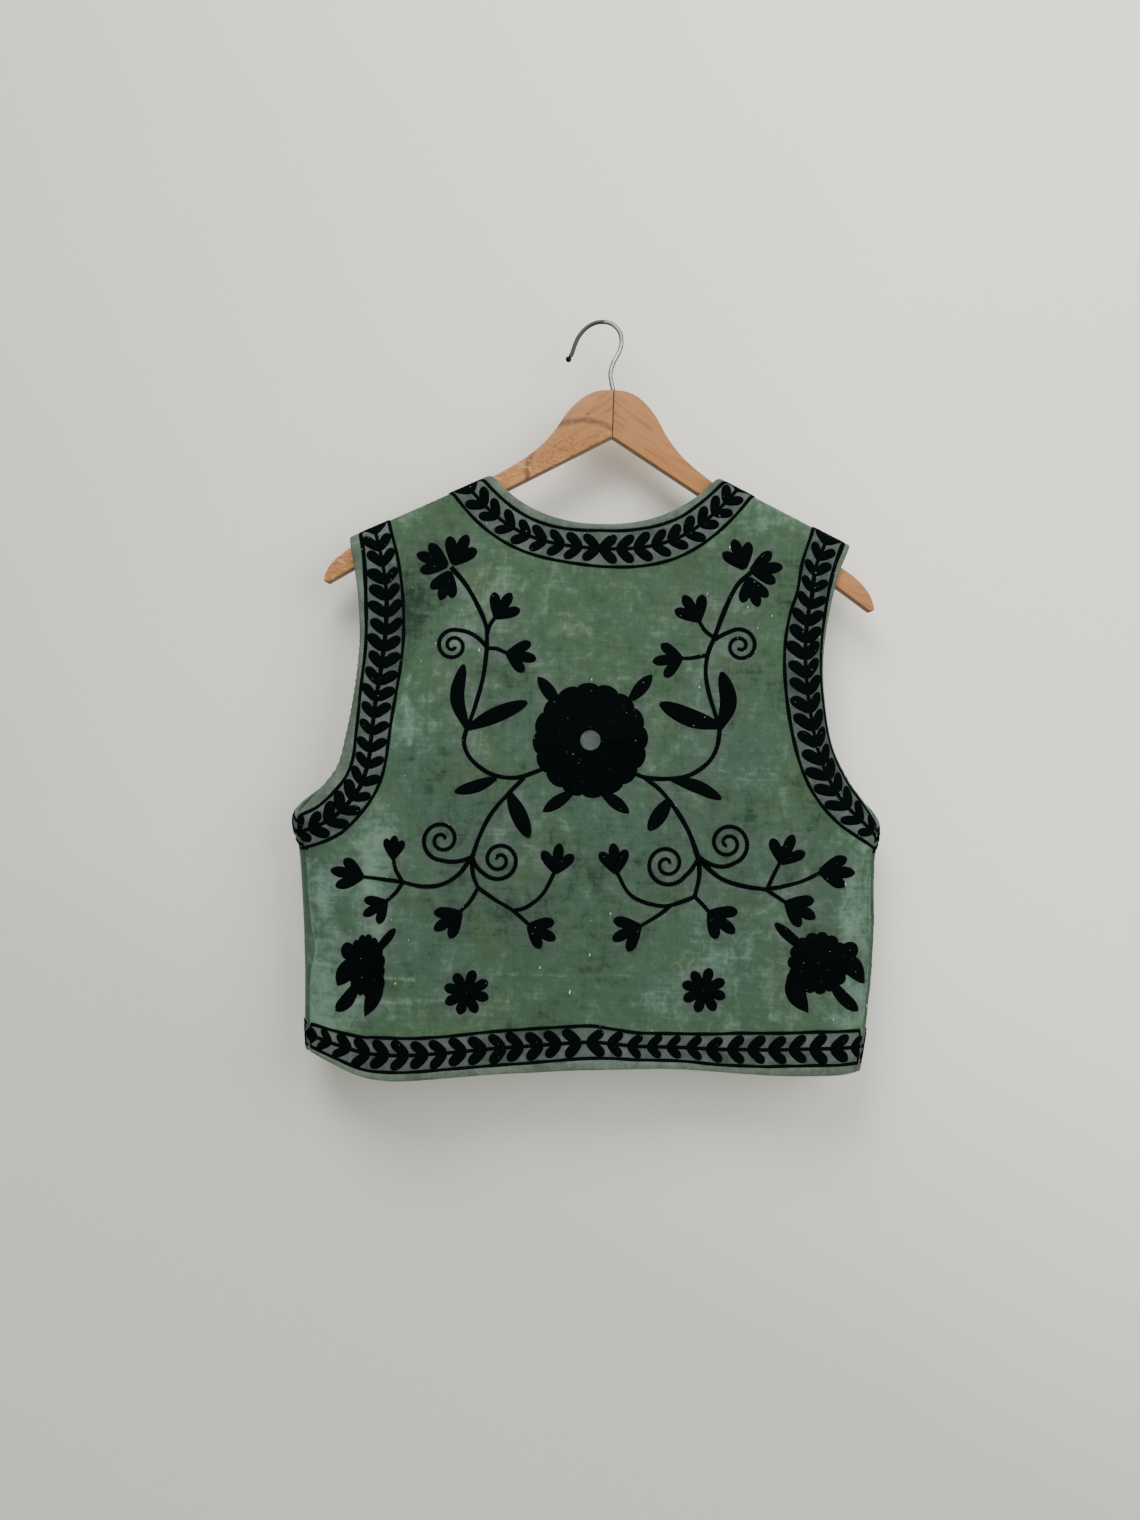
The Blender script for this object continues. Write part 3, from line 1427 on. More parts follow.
@dataclass
class Binding:
    """Strip of velvet folded over an edge, with the small wrinkles of its sewing."""

    form: ClothForm
    name: str
    node: str
    runs: list[tuple[EdgeRun, Array]]
    closed: bool
    proud: float = 0.7
    wrinkle: float = 0.10
    pull: tuple[Triple, ...] = ()

    def section(self) -> Array:
        """Outline of the folded strip.

        Returns:
            Its points, as shares of its width and distances outward.
        """
        top = [(1.0, 0.10), (0.93, 0.62), (0.72, 1.0), (0.46, 1.05), (0.22, 0.78), (0.07, 0.25)]
        rows = [(share, rise * self.proud) for share, rise in top]
        rows.append((0.0, -0.5 * self.form.cloth))
        rows += [(share, -self.form.cloth - rise * self.proud) for share, rise in reversed(top)]
        return np.array(rows)

    def build(self, velvet: Material) -> None:
        """Loft the strip along its edges, in place of its CAD node.

        Args:
            velvet: its material.
        """
        section = self.section()
        rows, marks, gone = [], [], 0.0
        for number, (run, width) in enumerate(self.runs):
            last = len(run.points) - int(self.closed and number == len(self.runs) - 1)
            kept = slice(min(number, 1), last)
            length = along(run.points) + gone
            gone = length[-1]
            length = length[kept]
            size = self.wrinkle * (0.6 + 0.4 * np.sin(length / 23.0))
            for start, stop, extra in self.pull:
                size = size + extra * (ease((length - start) / 12.0) * ease((stop - length) / 12.0))
            placed, cloth = [], []
            for share, out in section:
                points = run.inset(share * width)[kept]
                slant = length + 0.8 * (share * width)[kept] + 1.5 * np.sin(length / 17.0)
                lift = size * math.sin(math.pi * min(1.0, share + 0.12))
                lift = lift * np.sin(slant * 2.0 * math.pi / 6.4)
                sign = 1.0 if out > -0.5 * self.form.cloth else -1.0
                placed.append(self.form.place(run.face, points, out + sign * lift))
                cloth.append(np.column_stack([points, np.full(len(points), 9.0)]))
            rows.append(np.stack(placed, axis=1))
            marks.append(np.stack(cloth, axis=1))
        rows = np.vstack(rows)
        faces = ring_faces(len(rows), len(section), self.closed)
        piece = new_piece(self.name, rows.reshape(-1, 3), faces, velvet, 70.0)
        store(piece, "cloth", np.vstack(marks).reshape(-1, 3))
        store(piece, "strip", np.full(len(rows) * len(section), 1.0))
        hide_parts(self.node)


def ring_faces(rings: int, count: int, closed: bool, start: int = 0) -> list[tuple[int, ...]]:
    """Faces of rings of points that follow each other.

    Args:
        rings: how many rings there are.
        count: how many points a ring has.
        closed: whether the last ring joins the first.
        start: index of the first point.

    Returns:
        The faces, capped at both ends where the rings aren't closed.
    """
    faces = []
    for index in range(rings if closed else rings - 1):
        here, there = start + index * count, start + ((index + 1) % rings) * count
        for column in range(count):
            after = (column + 1) % count
            faces.append((here + column, there + column, there + after, here + after))
    if not closed:
        first = tuple(range(start, start + count))
        last = tuple(range(start + (rings - 1) * count, start + rings * count))
        faces += [first, last[::-1]]
    return faces


class Needle:
    """Lays raised patches of chain stitch on one face of the cloth."""

    TOP = np.array([-1.0, -0.84, -0.5, 0.0, 0.5, 0.84, 1.0])
    RISE = np.array([0.05, 0.66, 0.95, 1.0, 0.95, 0.66, 0.05])
    UNDER = -0.7

    def __init__(self, form: ClothForm, face: Face) -> None:
        """Start an empty piece of needlework.

        Args:
            form: form of the cloth.
            face: back or front.
        """
        self.form = form
        self.face = face
        self.points: list[Array] = []
        self.marks: list[Array] = []
        self.faces: list[tuple[int, ...]] = []
        self.count = 0
        self.hand = np.random.default_rng(11 + 3 * int(face))

    def loft(self, sections: Array, out: Array, run: Array, row: Array, closed: bool) -> None:
        """Add a closed patch.

        Args:
            sections: cloth points, section by section.
            out: height of each point above the cloth.
            run: distance along the stitching.
            row: distance across the rows of stitches.
            closed: whether the last section joins the first.
        """
        rings, wide = out.shape
        edges = [*range(wide), -1, 0]
        marks = np.dstack([out, run, row])[:, edges]
        marks[:, wide:, 0] = self.UNDER
        self.points.append(sections[:, edges].reshape(-1, 2))
        self.marks.append(marks.reshape(-1, 3))
        self.faces += ring_faces(rings, wide + 2, closed, self.count)
        self.count += rings * (wide + 2)

    def ribbon(self, route: Array, half: Array, out: Array, shift: float) -> None:
        """Add rows of stitches on both sides of a route.

        Args:
            route: cloth points of the middle.
            half: half the width at each of them.
            out: height of each point above the cloth.
            shift: distance of the middle across the rows of stitches.
        """
        spread = (half[:, None] * self.TOP)[:, :, None]
        sections = route[:, None] + square_to(route)[:, None] * spread
        run = np.repeat(along(route)[:, None], len(self.TOP), axis=1)
        self.loft(sections, out, run, np.outer(half, self.TOP) + shift, False)

    def cord(self, route: Array, width: float | Array, rise: float = 0.95) -> None:
        """Stitch a line along a route of cloth points.

        Args:
            route: cloth points of the line.
            width: width of the line.
            rise: its height above the cloth.
        """
        length = along(route)
        plump = 1.0 + 0.10 * np.sin(length * 2.0 * math.pi / STITCH)
        half = np.broadcast_to(width, length.shape) / 2.0 * plump
        self.ribbon(route, half, np.outer(plump, self.RISE) * rise, 0.8)

    def leaf(self, base: Sequence[float], tip: Sequence[float], width: float,
             via: Sequence[float] | None = None, peak: float = 0.62, waist: float = 0.30,
             rise: float = 1.0, point: float = 0.5, swell: float = 1.0) -> None:
        """Fill a leaf or petal.

        Args:
            base: cloth point at its foot.
            tip: cloth point at its tip.
            width: its greatest width.
            via: a point that its middle line passes, if it is bent.
            peak: share of its length at which it is widest.
            waist: its width at the foot, as a share of the greatest.
            rise: height of the stitching.
            point: power of the round at its tip, higher for a sharper one.
            swell: power of its growth from the foot, lower for a rounder foot.
        """
        spine = smooth_route([base, tip] if via is None else [base, via, tip], 1.5)
        even = along(spine) / along(spine)[-1]
        share = 1.0 - (1.0 - even) ** 1.25
        spine = np.column_stack([np.interp(share, even, spine[:, axis]) for axis in range(2)])
        growth = np.sin(np.clip(share / peak, 0.0, 1.0) * math.pi / 2.0)
        growing = waist + (1.0 - waist) * growth ** swell
        cap = np.clip((share - peak) / (1.0 - peak), 0.0, 1.0)
        closing = np.maximum(0.06, 1.0 - cap ** 2) ** point
        half = width / 2.0 * np.where(share < peak, growing, closing)
        level = np.minimum(1.0, 0.35 + half / 1.8)
        self.ribbon(spine, half, np.outer(level, self.RISE) * rise, width)

    def disc(self, centre: Sequence[float], radius: float, hole: float = 0.4,
             scallops: int = 0, depth: float = 0.0, squash: float = 1.0, turn: float = 0.0,
             rise: float = 1.0) -> None:
        """Fill a round shape in rings of stitches.

        Args:
            centre: its middle, a cloth point.
            radius: its greatest radius.
            hole: radius of the bare cloth in its middle.
            scallops: how many scallops its edge has.
            depth: how deep they are cut.
            squash: its width as a share of its height.
            turn: angle of its first scallop in degrees.
            rise: height of the stitching.
        """
        count = max(24, int(radius * 5.0))
        if scallops:
            count = scallops * max(6, round(count / scallops))
        angle = np.linspace(0.0, 2.0 * math.pi, count, endpoint=False)
        lobes = np.abs(np.cos(angle * scallops / 2.0)) ** 0.6
        edge = radius - depth * (1.0 - lobes)
        rows = max(2, round((radius - hole) / 3.2))
        share = np.r_[0.0, 0.6 / (radius - hole), np.linspace(0.0, 1.0, rows + 2)[1:-1],
                      1.0 - 0.9 / (radius - hole), 1.0]
        distance = hole + (edge[:, None] - hole) * share[None, :]
        lay = angle + math.radians(turn)
        spokes = np.dstack([np.cos(lay)[:, None] * distance * squash, np.sin(lay)[:, None] * distance])
        out = np.r_[0.05, 0.8, np.ones(rows), 0.8, 0.05] * rise
        self.loft(np.asarray(centre) + spokes, np.broadcast_to(out, distance.shape),
                  angle[:, None] * distance, distance, True)

    def build(self, name: str, thread: Material) -> Piece:
        """Turn what was stitched into one piece.

        Args:
            name: name of the piece.
            thread: its material.

        Returns:
            The new piece.
        """
        points = np.vstack(self.points)
        out, run, row = np.vstack(self.marks).T
        faces = self.faces if self.face == Face.BACK else [face[::-1] for face in self.faces]
        placed = self.form.place(self.face, points, out)
        piece = new_piece(name, placed, faces, thread, 60.0)
        store(piece, "cloth", np.column_stack([points, np.full(len(points), 20.0)]))
        store(piece, "run", run)
        store(piece, "row", row)
        return piece


class Tulip(NamedTuple):
    """Three-lobed flower that grows from a stem's end."""

    across: float
    up: float
    heading: float
    size: float = 1.0
    spread: float = 36.0

    def stitch(self, needle: Needle) -> None:
        """Stitch the three lobes and the cup that joins them.

        Args:
            needle: the needle.
        """
        base = np.array([self.across, self.up])
        for offset, length in ((-self.spread, 18.0), (0.0, 21.0), (self.spread, 18.4)):
            angle = math.radians(self.heading + offset + needle.hand.uniform(-2.5, 2.5))
            way = np.array([math.cos(angle), math.sin(angle)])
            tip = base + way * length * self.size * needle.hand.uniform(0.97, 1.03)
            needle.leaf(base, tip, 7.9 * self.size, peak=0.68, waist=0.5, rise=1.05)
        angle = math.radians(self.heading)
        way = np.array([math.cos(angle), math.sin(angle)]) * self.size
        needle.leaf(base - way * 0.8, base + way * 12.5, 11.0 * self.size, peak=0.6, waist=0.36)


class Scroll(NamedTuple):
    """Tendril that leaves its root and winds round a centre."""

    root: Point
    centre: Point
    radius: float
    enters: float
    turns: float
    handed: int
    core: float

    def stitch(self, needle: Needle) -> None:
        """Stitch the tendril.

        Args:
            needle: the needle.
        """
        share = np.linspace(0.0, 1.0, 33)
        angle = math.radians(self.enters) + self.handed * share * self.turns * 2.0 * math.pi
        radius = self.radius - (self.radius - self.core) * share ** 0.95
        coil = np.column_stack([self.centre[0] + radius * np.cos(angle),
                                self.centre[1] + radius * np.sin(angle)])
        route = walk(np.vstack([self.approach(coil), smooth_route(coil, FINE)]), FINE)
        needle.cord(route, np.linspace(3.5, 2.8, len(route)))

    def approach(self, coil: Array) -> Array:
        """Curve from the root that runs smoothly into the coil.

        Args:
            coil: points of the coil, from its outer end.

        Returns:
            Points of the curve, without its last.
        """
        root = np.array(self.root)
        reach = coil[0] - root
        last = (coil[1] - coil[0]) / np.linalg.norm(coil[1] - coil[0]) * np.linalg.norm(reach)
        part = np.linspace(0.0, 1.0, 20, endpoint=False)[:, None]
        return root + (2.0 * reach - last) * part + (last - reach) * part ** 2


class Leaf(NamedTuple):
    """Single leaf with a bent middle line."""

    base: Point
    via: Point
    tip: Point
    width: float


class Stem(NamedTuple):
    """Stem along a route, wide at its root and narrower at its end."""

    route: Route
    wide: float = 3.4
    narrow: float = 3.2


@dataclass(frozen=True)
class Sprig:
    """Climbing sprig on one half of the vest: stems, tendrils, leaves and tulips."""

    name: str
    tulips: tuple[Tulip, ...]
    stems: tuple[Stem, ...]
    scrolls: tuple[Scroll, ...]
    leaves: tuple[Leaf, ...]
    slim: float = 0.9

    def stitch(self, needle: Needle) -> None:
        """Stitch the sprig.

        Args:
            needle: the needle.
        """
        for stem in self.stems:
            route = smooth_route(stem.route, FINE)
            wide = np.linspace(stem.wide, stem.narrow, len(route)) * self.slim
            needle.cord(route, wide * (1.0 + 0.07 * np.sin(along(route) / 5.3)))
        for scroll in self.scrolls:
            scroll.stitch(needle)
        for leaf in self.leaves:
            needle.leaf(leaf.base, leaf.tip, leaf.width, leaf.via, peak=0.5, waist=0.34, rise=1.1)
        for tulip in self.tulips:
            tulip.stitch(needle)

    def mirrored(self, name: str, middle: float) -> "Sprig":
        """The same sprig on the other side of a middle line.

        Args:
            name: name of the mirrored sprig.
            middle: cloth coordinate across of the middle line.

        Returns:
            The mirrored sprig.
        """
        def over(place: Sequence[float]) -> Point:
            """A cloth point on the other side."""
            return (2.0 * middle - place[0], place[1])

        return Sprig(
            name,
            tuple(tulip._replace(across=2.0 * middle - tulip.across,
                                 heading=180.0 - tulip.heading) for tulip in self.tulips),
            tuple(stem._replace(route=tuple(over(place) for place in stem.route))
                  for stem in self.stems),
            tuple(scroll._replace(root=over(scroll.root), centre=over(scroll.centre),
                                  enters=180.0 - scroll.enters, handed=-scroll.handed)
                  for scroll in self.scrolls),
            tuple(Leaf(over(leaf.base), over(leaf.via), over(leaf.tip), leaf.width)
                  for leaf in self.leaves),
        )


FRONT_SPRIG = Sprig(
    "sprig_front_right",
    tulips=(
        Tulip(122.5, -221, 152, 1.02, 32), Tulip(126.5, -217.5, 64, 1.05, 32),
        Tulip(101, -266, 128, 1.02, 36), Tulip(71, -476, 228, 1.05, 36), Tulip(161, -456, 2, 1.1, 34),
        Tulip(146, -432.5, 74, 1.05, 34), Tulip(158.5, -477, -34, 1.05, 36),
    ),
    stems=(
        Stem(((114, -512), (100, -488), (90, -460), (85, -430), (86, -402)), 4.2, 4),
        Stem(((86, -403), (92, -378), (103, -350), (114, -322)), 4, 3.8),
        Stem(((114, -323), (120.5, -296), (123, -268), (124.5, -242), (125, -219)), 3.8, 3.4),
        Stem(((122.2, -283), (112, -278), (101, -266))), Stem(((89.4, -457), (81, -465), (71, -476))),
        Stem(((94, -473), (112, -463), (134, -457.5), (162, -456)), 3.8, 3.2),
        Stem(((134, -457.5), (141, -446), (146, -432))),
        Stem(((136, -457.2), (146, -467), (159, -477.5))),
    ),
    scrolls=(
        Scroll((117.6, -310), (94.5, -303), 12.6, -60, 1.72, -1, 2),
        Scroll((85, -426), (66.5, -431), 14, -30, 1.86, -1, 2.2),
        Scroll((85.4, -424), (108, -414.5), 15, -75, 1.86, 1, 2.2),
    ),
    leaves=(
        Leaf((86, -402), (75.5, -383), (76, -358), 11.6),
        Leaf((86.6, -402), (108, -388), (133, -381), 13),
        Leaf((108, -338.5), (118, -343), (133, -342), 9.6),
        Leaf((113.5, -511), (124, -519.5), (140, -523), 10.4),
        Leaf((113.5, -511), (101, -518), (86, -518), 10.4),
    ),
)

SPRIGS = (
    Sprig(
        "sprig_left",
        tulips=(
            Tulip(-118, -200.6, 163, 1.18, 31), Tulip(-112.5, -199, 68, 1.2, 34),
            Tulip(-115.4, -206.4, 253, 1.12, 27), Tulip(-76.7, -241, 58, 1.1, 39),
            Tulip(-66, -270, -9, 1.1, 36), Tulip(-173.8, -451.7, 170, 1.1, 36),
            Tulip(-149.9, -436, 86, 0.88, 25), Tulip(-154, -470.5, 214, 0.98, 39),
            Tulip(-95.3, -477, 216, 1.14, 35), Tulip(-21.2, -442, 86, 1.08, 38),
            Tulip(-40.5, -485.3, -24, 1.12, 36),
        ),
        stems=(
            Stem(
                ((-114.4, -202.2), (-103, -214.5), (-93, -230), (-84.6, -248), (-82.8, -266)), 4.4,
                3.6,
            ),
            Stem(((-83, -254), (-81, -247), (-76, -239))),
            Stem(((-82.8, -266.4), (-75, -266.6), (-65, -270.6))),
            Stem(((-82.8, -265), (-85, -290), (-91, -316), (-95.9, -331)), 3.8, 3.6),
            Stem(
                ((-95.9, -330), (-97.7, -343), (-91, -356), (-75, -366.6), (-55, -368.6), (-34, -361)),
                3.8, 3.8,
            ),
            Stem(((-49, -368.6), (-60.4, -381), (-73.2, -397), (-82, -415), (-87.6, -433)), 3.6, 3.8),
            Stem(
                (
                    (-87.6, -431.9), (-97, -446), (-110, -454.8), (-125.4, -457), (-141, -454.4),
                    (-158, -452.8), (-176, -451.4),
                ),
                4, 3.2,
            ),
            Stem(((-141, -454.4), (-147.2, -445), (-150, -434))),
            Stem(((-141, -454.4), (-147, -463.5), (-156, -472))),
            Stem(((-87.6, -431.9), (-86.4, -446), (-81.9, -457)), 3.9, 3.6),
            Stem(((-81.9, -456.9), (-88, -468), (-98, -479))),
            Stem(((-81.9, -456.9), (-68, -466), (-53.6, -474), (-38, -486.5)), 3.6, 3.2),
            Stem(((-53.6, -474), (-43, -470.6), (-30.4, -459.3), (-21, -440))),
        ),
        scrolls=(
            Scroll((-82.8, -266), (-109.9, -265.4), 13.2, 73, 1.72, 1, 2),
            Scroll((-87.6, -432.5), (-111.8, -419.8), 16.4, -88, 1.72, -1, 2.2),
            Scroll((-87.6, -432), (-66.2, -434.2), 16.4, 221, 1.85, 1, 2.2),
        ),
        leaves=(
            Leaf((-95.9, -331), (-104.7, -307), (-100.8, -280.4), 11.4),
            Leaf((-95.4, -331), (-74, -319.8), (-49, -308.4), 12.8),
            Leaf((-71, -369.6), (-86, -376.5), (-103.2, -381.8), 10),
            Leaf((-60.6, -380.6), (-52.6, -396.6), (-43.2, -415.4), 13),
        ),
    ),
    Sprig(
        "sprig_right",
        tulips=(
            Tulip(120.3, -193.9, 113, 1.14, 31), Tulip(126.6, -195.6, 11, 1.18, 36),
            Tulip(124.6, -202.6, -72, 1.12, 31), Tulip(85.6, -237.3, 121, 1.14, 38),
            Tulip(72.1, -268.4, 190, 1.08, 41), Tulip(26.5, -440.1, 100, 1.1, 33),
            Tulip(46.3, -482, 207, 1.14, 39), Tulip(101.9, -469.6, -36, 1.2, 40),
            Tulip(188, -433.4, 0, 1.2, 31), Tulip(156.3, -427.4, 70, 1.12, 44),
            Tulip(162, -459.2, -25, 1.2, 33),
        ),
        stems=(
            Stem(
                (
                    (127, -196), (122.9, -200.3), (116.7, -206.2), (111.4, -215.3), (105.4, -230.1),
                    (98, -252.1),
                ),
                4, 4.4,
            ),
            Stem(((98.8, -251.6), (90.6, -245.2), (84.6, -235.8))),
            Stem(((92.8, -265.2), (79.3, -268.2), (70.5, -268.4))),
            Stem(
                ((98, -252), (93.6, -264.4), (92.3, -279), (95, -294), (100, -309.5), (105, -323)),
                3.8, 3.8,
            ),
            Stem(
                (
                    (105, -322), (103.7, -335.9), (99.3, -347.2), (91, -356), (79, -362.6),
                    (62, -365.2), (46, -364.4), (36, -360.5),
                ),
                3.8, 3.8,
            ),
            Stem(
                (
                    (45.5, -364.3), (57.3, -372.6), (65.5, -381), (75.4, -394), (84, -408.6),
                    (91.4, -427.4),
                ),
                3.6, 4.4,
            ),
            Stem(((91.3, -426), (92.6, -441), (89.6, -457.6)), 4, 3.8),
            Stem(
                (
                    (89.6, -457.4), (79.5, -461.8), (66, -465.6), (49.5, -462.9), (36.6, -455.6),
                    (26, -438),
                ),
                3.8, 3.2,
            ),
            Stem(((70.5, -465.3), (61.7, -472.7), (45.3, -483)), 3.6, 3.2),
            Stem(((89.6, -457.4), (96.2, -463.5), (103.2, -471))),
            Stem(
                ((91.6, -426.6), (100.6, -435.7), (112, -443.1), (127, -447.2), (145.6, -449.2)), 4.2,
                3.8,
            ),
            Stem(((145, -449.2), (157.9, -446.3), (174, -441.4), (190.4, -433)), 3.6, 3.2),
            Stem(((146.2, -448.6), (150.5, -437.7), (155.6, -426.5))),
            Stem(((145.4, -449.3), (153.5, -454.2), (163.8, -460.4))),
        ),
        scrolls=(
            Scroll((97.4, -253.6), (118.9, -257), 14.2, 129, 1.72, -1, 2),
            Scroll((91.4, -425.6), (114.1, -413.9), 16.8, -75, 1.9, 1, 2.2),
            Scroll((91.2, -427), (66.5, -432.3), 17.6, -30, 1.88, -1, 2.2),
        ),
        leaves=(
            Leaf((104.9, -323.6), (110.9, -302.2), (105, -278.4), 13.4),
            Leaf((105.8, -321.8), (81.5, -315.9), (56.6, -305.4), 14.8),
            Leaf((68, -365.3), (87.3, -370), (107.6, -379.2), 10.4),
            Leaf((66.9, -380.8), (59.6, -393.1), (51.2, -406), 12.2),
        ),
    ),
)


@dataclass(frozen=True)
class Rosette:
    """Scalloped rosette in the middle of the back, with four leaves behind it."""

    centre: Point = (2.4, -336.8)
    radius: float = 45.8
    hole: float = 8.0
    scallops: int = 16

    def stitch(self, needle: Needle) -> None:
        """Stitch the rosette and its leaves.

        Args:
            needle: the needle.
        """
        leaves = (
            ((-24.0, -309.5), (-41.0, -288.0), 10.6), ((33.5, -303.0), (49.4, -283.0), 10.6),
            ((-11.0, -378.5), (-32.8, -394.6), 10.0), ((14.0, -378.0), (35.0, -393.0), 10.0),
        )
        for base, tip, width in leaves:
            needle.leaf(base, tip, width, peak=0.5, waist=0.5, rise=0.95, point=0.7)
        needle.disc(self.centre, self.radius, self.hole, self.scallops, 2.6, rise=1.15, turn=5.0)


@dataclass(frozen=True)
class StarFlower:
    """Flower of eight round petals."""

    centre: Point
    radius: float = 18.0
    petals: int = 8
    turn: float = 30.5

    def stitch(self, needle: Needle) -> None:
        """Stitch the petals and the middle.

        Args:
            needle: the needle.
        """
        for index in range(self.petals):
            angle = math.radians(self.turn + index * 360.0 / self.petals + needle.hand.uniform(-3, 3))
            way = np.array([math.cos(angle), math.sin(angle)])
            reach = self.radius * needle.hand.uniform(0.95, 1.05)
            base = np.array(self.centre) + way * 2.0
            needle.leaf(base, np.array(self.centre) + way * reach, 8.4, peak=0.68, waist=0.4)
        needle.disc(self.centre, 9.0, rise=1.1)


@dataclass(frozen=True)
class Carnation:
    """Carnation in profile beside a side seam, with two sepals and two leaves."""

    side: Side
    centre: Point
    squash: float = 1.0
    inner_tip: Point = (-7.2, -41.0)
    outer_tip: Point = (37.4, -17.6)

    def at(self, across: float, up: float) -> Point:
        """Cloth point at an offset from the blossom's middle, mirrored by side."""
        return self.centre[0] + float(self.side) * self.squash * across, self.centre[1] + up

    def stitch(self, needle: Needle) -> None:
        """Stitch the blossom.

        Args:
            needle: the needle.
        """
        at = self.at
        slim = (1.0 + self.squash) / 2.0
        needle.disc(at(0.0, -2.2), 24.8, 0.4, 15, 2.4, self.squash, 12.0, 1.1)
        needle.disc(at(23.4, 8.6), 6.8, squash=self.squash)
        needle.disc(at(-17.4, -15.0), 7.6, squash=self.squash)
        needle.leaf(at(-10.5, -4.0), at(*self.inner_tip), 17.5 * slim,
                    at(self.inner_tip[0] - 10.2, -24.0), 0.4, 0.7, 1.05, 0.8)
        needle.leaf(at(8.0, 1.0), at(*self.outer_tip), 15.5 * slim,
                    at(self.outer_tip[0] - 12.4, -3.6), 0.5, 0.8, 1.05, 0.7)
        needle.leaf(at(11.5, -18.0), at(32.0, -39.4), 9.8, at(21.0, -30.3), 0.6, 0.6)
        needle.leaf(at(-12.5, 9.0), at(-35.4, 27.8), 8.6 * slim, at(-25.0, 19.0), 0.55, 0.7)


class LeafPair(NamedTuple):
    """Pair of leaves that opens along a border's stem, the first one a lead from its start."""

    length: float
    width: float
    pitch: float
    lead: float
    angle: float = 44.0


# Leaf pairs of the borders' vines, left and right.
PAIRS: dict[Edge, tuple[LeafPair, LeafPair]] = {
    Edge.NECK: (LeafPair(13.2, 7.3, 14.5, 10.7), LeafPair(13.2, 7.3, 13.9, 5.7)),
    Edge.ARMHOLE: (LeafPair(14.2, 7.9, 13.6, 9.0), LeafPair(14.2, 7.9, 14.0, 10.4)),
    Edge.HEM: (LeafPair(14.0, 8.0, 15.1, 4.3), LeafPair(14.0, 8.0, 16.3, 6.2)),
}


